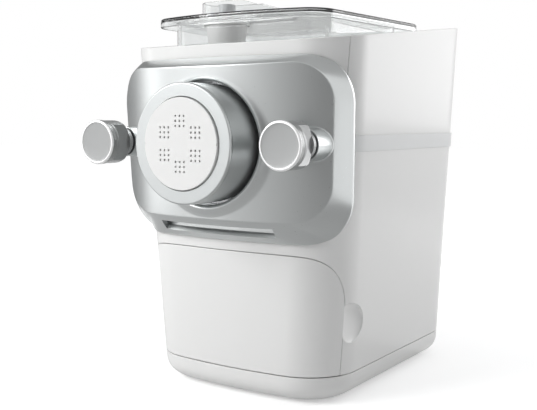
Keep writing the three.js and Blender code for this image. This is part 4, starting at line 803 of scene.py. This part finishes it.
def along_outline(outline, count):
    """Places evenly spaced along a closed outline."""
    closed = outline + outline[:1]
    steps = [math.dist(a, b) for a, b in zip(closed, closed[1:])]
    total = sum(steps)
    out, at, i = [], 0.0, 0
    for k in range(count):
        want = total * k / count
        while at + steps[i] < want:
            at += steps[i]
            i += 1
        t = (want - at) / steps[i] if steps[i] else 0
        out.append(tuple(p + (q - p) * t for p, q in zip(closed[i], closed[i + 1])))
    return out


def reach_to(outline, angle):
    """How far the outline is from the axis in a direction."""
    dx, dz = math.cos(angle), math.sin(angle)
    best = 0.0
    for (ax, az), (bx, bz) in zip(outline, outline[1:] + outline[:1]):
        az, bz = az - AXIS, bz - AXIS
        ex, ez = bx - ax, bz - az
        det = dx * -ez + dz * ex
        if abs(det) < 1e-9:
            continue
        reach = (ax * -ez + az * ex) / det
        share = (dx * az - dz * ax) / det
        if reach > 0 and -1e-6 <= share <= 1 + 1e-6:
            best = max(best, reach)
    return best


def soft_max(a, b, k):
    """The larger value, blended over a width k where the two are close."""
    h = max(k - abs(a - b), 0) / k
    return max(a, b) + h * h * k / 4


def hoop_y(x, z):
    """The lip round the ring: flush at the top and bottom, a little proud at the sides."""
    r = math.hypot(x, z - AXIS)
    lip = HOOP_FACE + 4.0 * (x / r) ** 2
    return soft_max(lip, lip + 1.1 * (r - 53.2), 1.6)


def plate_y(x, z):
    """The front of the plate: the lip round the ring, blended into the bowed face."""
    r = math.hypot(x, z - AXIS)
    y = -soft_max(-face_y(x, z), -hoop_y(x, z), 4.0)
    if r < HOOP_INNER + HOOP_LIP:
        y += HOOP_LIP - math.sqrt(max(HOOP_LIP**2 - (HOOP_INNER + HOOP_LIP - r) ** 2, 0))
    return y


def between(a, b, t):
    return tuple(p + (q - p) * t for p, q in zip(a, b))


def fillet_points(a, corner, b, steps):
    shares = [i / steps for i in range(steps + 1)]
    return [between(between(a, corner, t), between(corner, b, t), t) for t in shares]


def panel_column(angle, edge, far, inner):
    """One row of the skin: hoop, face, crease, bevel, rim, and back behind to the hoop."""
    dx, dz = math.cos(angle), math.sin(angle)

    def at(r):
        return dx * r, AXIS + dz * r

    def front(r):
        x, z = at(r)
        return x, plate_y(x, z), z

    def behind(r, depth):
        x, z = at(r)
        return x, face_y(x, z) + depth, z

    column = [front(r) for r in HOOP_RADII]
    start, soft = HOOP_RADII[-1], CREASE_SOFT / 2
    column += [front(start + (edge - soft - 0.1 - start) * (j / 26) ** 1.6) for j in range(1, 27)]
    crease = behind(edge, 0)
    x, z = at(far)
    rim = (x, rim_y(x, z), z)
    length = math.dist(crease, rim)
    first, last = soft / length, RIM_SOFT / length

    def bevel_at(t):
        x, y, z = between(crease, rim, t)
        return x, y - BEVEL_BULGE * 4 * t * (1 - t), z

    column += fillet_points(front(edge - soft), crease, bevel_at(first), 6)
    column += [bevel_at(first + (1 - first - last) * j / 12) for j in range(1, 12)]
    side = (rim[0], rim[1] + 2, rim[2])
    column += fillet_points(bevel_at(1 - last), rim, between(rim, side, 0.45), 5)
    x, z = at(inner)
    column += [side, (x, rim_y(x, z) + 2, z), behind(edge - 3, 3.2)]
    foot = min(63.0, edge - 3.4)
    column.append(behind(foot, 3.4) if foot > 57 else column[-1])
    x, z = at(56.6)
    column.append((x, max(face_y(x, z) + 3.8, 40.0), z))
    for r, y in SLEEVE:
        x, z = at(r)
        column.append((x, y, z))
    return column


def front_panel():
    outlines = [panel_outline(*sizes) for sizes in (CREASE, RIM, BACK_RIM)]
    columns = []
    for x, z in along_outline(outlines[0], 320):
        a = math.atan2(z - AXIS, x)
        columns.append(panel_column(a, *(reach_to(outline, a) for outline in outlines)))
    obj = piece("front_panel", loft(columns, close=True))
    back = face_y(KNOB_X, AXIS) + 7
    boss = [(0, BOSS_FRONT), (12.1, BOSS_FRONT), (12.5, BOSS_FRONT + 0.15), (12.7, BOSS_FRONT + 0.6),
            (12.7, back), (0, back)]
    for side in SIDES:
        join(obj, turned(boss, (side * KNOB_X, AXIS), sides=96), boss_collar(side))
    join(obj, grip_backing())
    cut(obj, grip_cutter())
    for side in SIDES:
        cut(obj, rod(4.3, (0, 88), side * KNOB_X, AXIS, 48))
    dressed(obj, "silver_paint", "front_panel", 0, angle=40)


def boss_collar(side):
    """A fine step round the foot of a boss, following the bowed face."""
    rings = []
    for radius, lift in ((12.2, 3), (12.2, -0.7), (13.2, -0.7), (13.5, -0.4), (13.5, 3)):
        ring = []
        for i in range(96):
            a = 2 * math.pi * i / 96
            x, z = side * KNOB_X + radius * math.cos(a), AXIS + radius * math.sin(a)
            ring.append((x, face_y(x, z) + lift, z))
        rings.append(ring)
    return loft(rings, close=True)


def grip_depth(x):
    return front_surface(x, AXIS - 74) - 3.3


def bevel_y(x, z):
    """The front of the lower bevel, between the crease and the rim."""
    crease, rim = AXIS - CREASE_BOTTOM, AXIS - RIM_BOTTOM
    share = (crease - z) / (crease - rim)
    return face_y(x, crease) + (rim_y(x, rim) - face_y(x, crease)) * share


def grip_backing():
    """The wall behind the finger groove."""
    places = [-GRIP_HALF + 2 * GRIP_HALF * i / 16 for i in range(17)]
    back = [(x, grip_depth(x) + WALL) for x in places]
    half = GRIP_HALF + WALL
    back = [(-half, back[0][1])] + back[1:-1] + [(half, back[-1][1])]
    return prism([(x, y - 2.9) for x, y in back] + back[::-1], (AXIS - 76.5, AXIS - 63.5))


def grip_cutter():
    """The finger groove: a flat roof over an inclined ledge, closed by a wall at each end."""
    roof, hook = AXIS - 66, AXIS - 66.6
    ends = [GRIP_HALF, 55.7, 55.2, 54.4]
    rings = []
    for x in [-x for x in ends] + [-53 + 106 * i / 26 for i in range(27)] + ends[::-1]:
        share = min((GRIP_HALF - abs(x)) / 1.6, 1.0)
        low = roof - 6.6 - 1.4 * math.sin(math.pi / 2 * share)
        back = grip_depth(x)
        rings.append([(x, back - 26, roof), (x, back, roof), (x, back, hook), (x, bevel_y(x, low) - 0.4, low),
                      (x, back - 26, low)])
    return loft(rings)


def knob_flats(side):
    """A shallow hollow down each side of a knob."""
    radius = 110.0
    centre = side * (9.5 + radius)
    points = []
    for i in range(49):
        a = math.radians(-12 + 24 * i / 48)
        points.append((centre - side * radius * math.cos(a), radius * math.sin(a)))
    edge = side * 26.0
    return [(edge, points[0][1])] + points + [(edge, points[-1][1])]


KNOB_RADIUS, BAND = 18.2, 5.2
KNOB_PROFILE = [
    (0, 0.8), (6, 0.75), (11, 0.6), (14.2, 0.4), (15.6, 0.22), (16.0, 0.12), (16.2, 0.02), (16.5, 0), (16.9, 0),
    (17.2, 0.05), (17.65, 0.3), (17.95, 0.62), (18.15, 1.0), (KNOB_RADIUS, 1.5), (KNOB_RADIUS, BAND - 0.5),
    (18.1, BAND - 0.15), (17.85, BAND + 0.05), (17.35, BAND + 0.1), (17.3, BAND + 0.45), (17.6, BAND + 0.75),
    (17.8, BAND + 1.1), (17.85, 12), (17.85, 19), (17.8, 20.4), (17.65, 21.4), (17.3, 22.4), (16.8, 23.3),
    (15.9, 24.4), (14.8, 25.5), (13.6, 26.5), (12.5, 27.2), (12.0, 27.6), (11.9, 27.9), (11.9, KNOB_END - 0.4),
    (11.6, KNOB_END), (4.3, KNOB_END), (4.3, 17.7), (0, 17.7)]
WASHER_PROFILE = [(4.3, 31.8), (10.9, 31.8), (11.2, 32.1), (11.2, 32.8), (10.9, 33.1), (4.3, 33.1), (4.3, 31.8)]


def knob(node, side):
    obj = piece(node, turned(KNOB_PROFILE, (side * KNOB_X, AXIS), sides=160))
    for hand in SIDES:
        outline = [(side * KNOB_X + x, AXIS + z) for x, z in knob_flats(hand)]
        cut(obj, prism_y(outline[::hand], (8.5, 27.6)))
    dressed(obj, "knob_grey", node, 0.3, angle=32)


def washer(node, side):
    form = turned(WASHER_PROFILE, (side * KNOB_X, AXIS), sides=96)
    dressed(piece(node, form), "dark_plastic", node)


RING_PROFILE = [
    (36.55, 0), (36.35, 0.25), (36.35, 4), (42.3, 4), (42.3, 38), (46.6, 38), (47, 37.6), (47, 3.1),
    (46.85, 2.8), (46.4, 2.75), (46.3, 2.5), (46.4, 2.15), (46.85, 2.1), (47, 1.85), (46.95, 1.3), (46.75, 0.8),
    (46.35, 0.3), (45.9, 0.06), (45.5, 0), (36.55, 0)]
DISC_PROFILE = [(0, -1.8), (35.0, -1.8), (35.35, -1.68), (35.55, -1.35), (35.55, 4.3), (41.2, 4.3), (41.6, 4.7),
                (41.6, 9.6), (41.2, 10), (0, 10)]
HOLE_CIRCLE, HOLE_HALF, HOLE_PITCH = 17.5, 0.85, (4.1, 3.8)


def cap_ring():
    obj = piece("cap_ring", turned(RING_PROFILE, (0, AXIS), sides=256))
    dressed(obj, "ring_silver", "cap_ring", angle=30)


def shaping_disc():
    """Six groups of nine square holes, and two notches in the rim."""
    obj = piece("shaping_disc", turned(DISC_PROFILE, (0, AXIS), sides=192))
    holes = []
    for group in range(6):
        a = math.pi / 2 + group * math.pi / 3
        for hole in range(9):
            x = HOLE_CIRCLE * math.cos(a) + (hole % 3 - 1) * HOLE_PITCH[0]
            z = AXIS + HOLE_CIRCLE * math.sin(a) + (hole // 3 - 1) * HOLE_PITCH[1]
            square = rounded((x - HOLE_HALF, x + HOLE_HALF), (z - HOLE_HALF, z + HOLE_HALF), 0.2, 3)
            holes.append(prism_y(square, (-8, 16)))
    cut(obj, merged(*holes))
    for side in SIDES:
        ends = sorted((side * 34.75, side * 37.75))
        cut(obj, prism_y(rounded(ends, (AXIS - 1, AXIS + 1), 0.4, 4), (-8, -0.6)))
    dressed(obj, "white_plastic", "shaping_disc", angle=40)


LID_TOP = AXIS + 104.8
LID_HALF, LID_FRONT, LID_REAR = 94.5, 53.5, 231
LID_FRONT_BOW, LID_REAR_BOW = 330, 2400
LID_STEPS = (24, 18, 14, 8)
FUNNEL, BORE = (-29.5, 100.0), 5.9


def lid_plan(inset):
    """A bowed outline that narrows to the front."""
    outline = plan(LID_HALF - inset, LID_FRONT + inset, LID_REAR - inset, LID_FRONT_BOW - inset,
                   LID_REAR_BOW - inset, 24 - inset, 14 - inset, LID_STEPS)
    return [(x * (0.885 + 0.115 * (y - LID_FRONT) / (LID_REAR - LID_FRONT)), y) for x, y in outline]


def stadium(inset):
    """The outline of the inlet, a slot with round ends."""
    radius, out = 18 - inset, []
    for centre, start in ((20, -90), (-34, 90)):
        for i in range(33):
            a = math.radians(start + 180 * i / 32)
            out.append((centre + radius * math.cos(a), FUNNEL[1] + radius * math.sin(a)))
    return out


def layers(outline_at, steps):
    """A form from an outline's inset at each height."""
    return loft([[(x, y, z) for x, y in outline_at(inset)] for inset, z in steps])


def lid():
    bottom, plate, top = LID_TOP - 7.3, LID_TOP - 3, LID_TOP + 13.5
    edge = [(0.4, bottom), (0, bottom + 0.4)]
    for i in range(7):
        a = math.radians(15 * i)
        edge.append((2.2 * (1 - math.cos(a)), LID_TOP - 2.2 + 2.2 * math.sin(a)))
    obj = piece("lid", layers(lid_plan, edge))
    cut(obj, layers(lid_plan, [(3, bottom - OVER), (3, plate - 1), (3.3, plate - 0.3), (4, plate)]))
    mouth = [(0, plate), (0, top - 0.5), (0.15, top - 0.15), (0.5, top)]
    inlet = raw_object("inlet", layers(stadium, mouth))
    slope = [(-4, top), (38, LID_TOP + 1.5), (44, LID_TOP + 1.5), (44, top + OVER), (-4, top + OVER)]
    cut(inlet, prism_y(slope, (0, LID_REAR)))
    cut(inlet, layers(stadium, [(3, LID_TOP), (2.3, LID_TOP + 0.4), (2, LID_TOP + 1.2), (2, top + OVER)]))
    join(obj, inlet)
    cut(obj, post(7.7, (bottom - OVER, top), *FUNNEL, 64))
    dressed(obj, "clear_plastic", "lid", 0.25, angle=40)


def inlet_funnel():
    low, seat, top = LID_TOP - 3, LID_TOP + 0.3, AXIS + 117
    profile = [(BORE, low), (7.4, low), (7.4, seat), (9.5, seat), (9.8, seat + 0.3), (9.8, seat + 1.1),
               (9.4, seat + 1.5), (7.8, seat + 1.5), (7.4, seat + 1.9), (7.4, top - 0.5), (7.2, top - 0.1),
               (6.9, top), (6.4, top), (6.1, top - 0.1), (BORE, top - 0.5), (BORE, low)]
    obj = piece("inlet_funnel", turned(profile, FUNNEL, "Z", 96))
    dressed(obj, "funnel_grey", "inlet_funnel", angle=40)


def pouring_cup():
    top = LID_TOP - 3.3
    low = top - 31
    profile = [(BORE, low), (12.6, low), (13.5, low + 0.3), (14.1, low + 1.2), (18, top - 2.6),
               (19.6, top - 2.6), (20, top - 2.2), (20, top - 0.5), (19.6, top), (16.9, top), (16.4, top - 0.5),
               (12.6, low + 2.4), (11.6, low + 1.6), (BORE, low + 1.6), (BORE, low)]
    obj = piece("pouring_cup", turned(profile, FUNNEL, "Z", 128))
    dressed(obj, "white_plastic", "pouring_cup", angle=40)


TUB_HALF, TUB_RADIUS, TUB_CORNER, TUB_SHOULDER = 78, 62.5, 26, 30
TUB_Y, TUB_TOP = (74, 226), 101.5


def tub(name, inset, top):
    """A trough with a round bottom and upright walls above its shoulder."""
    half, radius = TUB_HALF - inset, TUB_RADIUS - inset
    shape = [(-half, AXIS + top), (-half, AXIS + TUB_SHOULDER)]
    for i in range(49):
        a = math.pi + math.pi * i / 48
        shape.append((radius * math.cos(a), AXIS + radius * math.sin(a)))
    shape += [(half, AXIS + TUB_SHOULDER), (half, AXIS + top)]
    y = (TUB_Y[0] + inset, TUB_Y[1] - inset)
    corners = rounded((-half, half), y, TUB_CORNER - inset, 18)
    return common(raw_object(name, prism_y(shape, y)), prism(corners, (AXIS - 80, AXIS + top + OVER)))


def mixing_chamber():
    obj = tub("mixing_chamber_shape", 0, TUB_TOP)
    cut(obj, tub("hollow", WALL, 108), rod(33.3, (0, 80), 0, AXIS, 96), rod(9.7, (220, 300), 0, AXIS))
    dressed(obj, "clear_plastic", "mixing_chamber", 0.4, angle=40, weld=0.03)


# Pieces that keep their solids: their edges are rounded and they get a finish.
KEPT = {
    "bulkhead": ("pale_plastic", 0.4),
    "drawer_bay": ("pale_plastic", 0.4),
    "drawer_tray": ("pale_plastic", 0.5),
    "clamp_bracket_left": ("steel", 0.4),
    "clamp_bracket_right": ("steel", 0.4),
    "extrusion_tube": ("steel", 0.5),
    "tube_gasket": ("rubber", 0.4),
    "left_knob_bolt": ("steel", 0.3),
    "right_knob_bolt": ("steel", 0.3),
    "shaft_seal": ("rubber", 0.3),
    "extruder_screw": ("pale_plastic", 0.5),
    "mixing_paddle": ("pale_plastic", 0.6),
    "output_shaft": ("steel", 0.3),
    "output_gear": ("gear_plastic", 0.2),
    "intermediate_gear": ("gear_plastic", 0.2),
    "intermediate_axle": ("steel", 0.3),
    "motor_pinion": ("steel", 0.2),
    "gearbox_housing": ("dark_plastic", 0.5),
    "gearbox_cover": ("dark_plastic", 0.5),
    "front_bearing": ("steel", 0.3),
    "rear_bearing": ("steel", 0.3),
    "motor_housing": ("steel", 0.5),
    "motor_stator": ("copper", 0.5),
    "motor_rotor": ("steel", 0.3),
    "cooling_fan": ("dark_plastic", 0.2),
    "power_board": ("board_green", 0.2),
    "display_board": ("board_green", 0.2),
    "safety_switch": ("dark_plastic", 0.4),
    "power_inlet": ("dark_plastic", 0.3),
}


def rounding_group():
    """Smooths the faces and keeps the sharp edges."""
    group = bpy.data.node_groups.new("rounding", "GeometryNodeTree")
    for way in ("INPUT", "OUTPUT"):
        group.interface.new_socket("Geometry", in_out=way, socket_type="NodeSocketGeometry")
    start = group.nodes.new("NodeGroupInput")
    end = group.nodes.new("NodeGroupOutput")
    angle = group.nodes.new("GeometryNodeInputMeshEdgeAngle")
    compare = group.nodes.new("FunctionNodeCompare")
    compare.operation = "GREATER_THAN"
    compare.inputs["B"].default_value = math.radians(SHARP)
    faces = group.nodes.new("GeometryNodeSetShadeSmooth")
    edges = group.nodes.new("GeometryNodeSetShadeSmooth")
    edges.domain = "EDGE"
    edges.inputs["Shade Smooth"].default_value = False
    group.links.new(start.outputs[0], faces.inputs["Geometry"])
    group.links.new(faces.outputs[0], edges.inputs["Geometry"])
    group.links.new(angle.outputs["Unsigned Angle"], compare.inputs["A"])
    group.links.new(compare.outputs[0], edges.inputs["Selection"])
    group.links.new(edges.outputs[0], end.inputs[0])
    return group


ROUNDING = rounding_group()


def keep(node, slot, bevel):
    obj = nodes[node]
    weld_points(obj, 0.01)
    round_edges(obj, bevel, 2, 40, True)
    obj.modifiers.new("smooth", "NODES").node_group = ROUNDING
    weigh_normals(obj)
    obj.data.materials.clear()
    obj.data.materials.append(MATERIALS[slot])


main_housing()
base_skirt()
for name in FEET:
    foot(name)
front_cover()
drawer_front()
side_band(-1, "side_band_left")
side_band(1, "side_band_right")
rear_cover()
top_deck()
control_panel()
display_window()
for name in BUTTONS:
    button(name)
front_panel()
for word, hand in (("left", -1), ("right", 1)):
    knob(word + "_knob", hand)
    washer(word + "_knob_washer", hand)
cap_ring()
shaping_disc()
lid()
inlet_funnel()
pouring_cup()
mixing_chamber()
for name, (slot, bevel) in KEPT.items():
    keep(name, slot, bevel)


# The studio, in metres: a camera at the photograph's viewing angle, a pale floor, cards and lamps
LENS = 58.19
CAMERA_PLACE = (0.42453, FRONT - 0.51441, 0.22981)
CAMERA_TURNS = ((33.784, "Z"), (90 - 5.552, "X"), (0.103, "Z"))
WHITE = (1, 1, 1, 1)
WORLD_COLOR, WORLD_FILL = (0.97, 0.98, 1.0, 1), 0.27
FLOOR_COLOR, FLOOR_GLOW = (0.8, 0.8, 0.8, 1), (0.4, 0.8)
# Corners from low left round to high left, and the shade at each end
CARDS = {
    "flag": (((-0.42, -0.85, 0.001), (0.62, -0.72, 0.001), (0.62, -0.72, 0.9), (-0.42, -0.85, 0.9)), (1.12, 0)),
    "ceiling": (((-1.4, -0.5, 1), (0.9, -0.5, 1), (0.9, 1.4, 1), (-1.4, 1.4, 1)), (0.4, 0.5)),
    "wing": (((-0.7, -0.19, 0.001), (-0.7, 0.7, 0.001), (-0.7, 0.7, 0.9), (-0.7, -0.19, 0.9)), (0.28, 0.28)),
    # low: a sheet on the floor that only reflections see, a painted shade standing in for the floor's shade
    # round the object
    "low": (((-0.9, -0.9, 0.002), (0.5, -0.9, 0.002), (0.5, 0.1, 0.002), (-0.9, 0.1, 0.002)), (0.8, 0.35)),
}
# Place, aim, size and power
LAMPS = {
    "key": ((-1.3, -1.65, 1.3), (0, 0, 0.15), (1.5, 1.2), 41),
    "side": ((0.6, 0.75, 0.5), (0, 0, 0.15), (0.7, 0.7), 3.5),
    "top": ((0.1, 0.3, 2.1), (0, 0, 0.2), (1.5, 1.5), 9),
    "strip": ((-1.45, -0.55, 0.35), (0, 0, 0.2), (0.22, 1.1), 1.0),
}


def camera():
    data = bpy.data.cameras.new("camera")
    data.sensor_width = 36.0
    data.lens = LENS
    obj = add_object("camera", data)
    obj.location = CAMERA_PLACE
    turn, tilt, roll = (Matrix.Rotation(math.radians(a), 4, axis) for a, axis in CAMERA_TURNS)
    obj.rotation_euler = (turn @ tilt @ roll).to_euler()
    bpy.context.scene.camera = obj


def bare_tree(holder, output):
    """The node tree of a material or a world, with nothing but its output."""
    holder.use_nodes = True
    tree = holder.node_tree
    tree.nodes.clear()
    return tree, new_node(tree, output)


def seen_rays(tree):
    """One for rays from the eye, also through a reflection or a clear piece, and else nought."""
    path = new_node(tree, "LightPath")
    seen = maths(tree, "MAXIMUM", path.outputs["Is Camera Ray"], path.outputs["Is Glossy Ray"])
    return maths(tree, "MAXIMUM", seen, path.outputs["Is Transmission Ray"])


def world():
    """White to the eye, a weaker fill to everything else."""
    studio = bpy.data.worlds.new("studio")
    bpy.context.scene.world = studio
    tree, out = bare_tree(studio, "OutputWorld")
    fill = new_node(tree, "Background")
    fill.inputs["Color"].default_value = WORLD_COLOR
    fill.inputs["Strength"].default_value = WORLD_FILL
    back = new_node(tree, "Background")
    back.inputs["Color"].default_value = WHITE
    mix = new_node(tree, "MixShader")
    tree.links.new(seen_rays(tree), mix.inputs["Fac"])
    tree.links.new(fill.outputs[0], mix.inputs[1])
    tree.links.new(back.outputs[0], mix.inputs[2])
    tree.links.new(mix.outputs[0], out.inputs["Surface"])


def sheet(name, corners):
    """A flat piece of the studio, with a material that glows white."""
    mesh = bpy.data.meshes.new(name)
    mesh.from_pydata(corners, [], [(0, 1, 2, 3)])
    obj = add_object(name, mesh)
    material = bpy.data.materials.new(name)
    mesh.materials.append(material)
    tree, out = bare_tree(material, "OutputMaterial")
    glow = new_node(tree, "Emission")
    glow.inputs["Color"].default_value = WHITE
    where = new_node(tree, "TexCoord")
    return obj, tree, out, glow, where


def floor():
    """It takes the object's shadow, and looks white where nothing shades it."""
    obj, tree, out, glow, where = sheet("floor", [(-6, -6, 0), (6, -6, 0), (6, 6, 0), (-6, 6, 0)])
    matte = new_node(tree, "BsdfDiffuse")
    matte.inputs["Color"].default_value = FLOOR_COLOR
    away = new_node(tree, "VectorMath")
    away.operation = "LENGTH"
    tree.links.new(where.outputs["Object"], away.inputs[0])
    level = ramp(tree, maths(tree, "MULTIPLY", away.outputs["Value"], 0.6), *FLOOR_GLOW)
    tree.links.new(maths(tree, "MULTIPLY", seen_rays(tree), level), glow.inputs["Strength"])
    both = new_node(tree, "AddShader")
    tree.links.new(matte.outputs[0], both.inputs[0])
    tree.links.new(glow.outputs[0], both.inputs[1])
    tree.links.new(both.outputs[0], out.inputs["Surface"])


def card(name, corners, shades):
    """A studio card that only reflections see."""
    obj, tree, out, glow, where = sheet(name, corners)
    split = new_node(tree, "SeparateXYZ")
    tree.links.new(where.outputs["Generated"], split.inputs[0])
    tree.links.new(ramp(tree, split.outputs["X"], *shades), glow.inputs["Strength"])
    tree.links.new(glow.outputs[0], out.inputs["Surface"])
    obj.visible_camera = obj.visible_diffuse = obj.visible_shadow = False
    obj.visible_transmission = obj.visible_volume_scatter = False


def lamp(name, place, aim, size, power):
    data = bpy.data.lights.new(name, "AREA")
    data.shape = "RECTANGLE"
    data.size, data.size_y = size
    data.energy = power
    obj = add_object(name, data)
    obj.location = place
    direction = Vector(aim) - Vector(place)
    obj.rotation_euler = direction.to_track_quat("-Z", "Y").to_euler()


camera()
world()
floor()
for name, settings in CARDS.items():
    card(name, *settings)
for name, settings in LAMPS.items():
    lamp(name, *settings)

bpy.context.scene.view_settings.view_transform = "Standard"

bpy.context.view_layer.update()
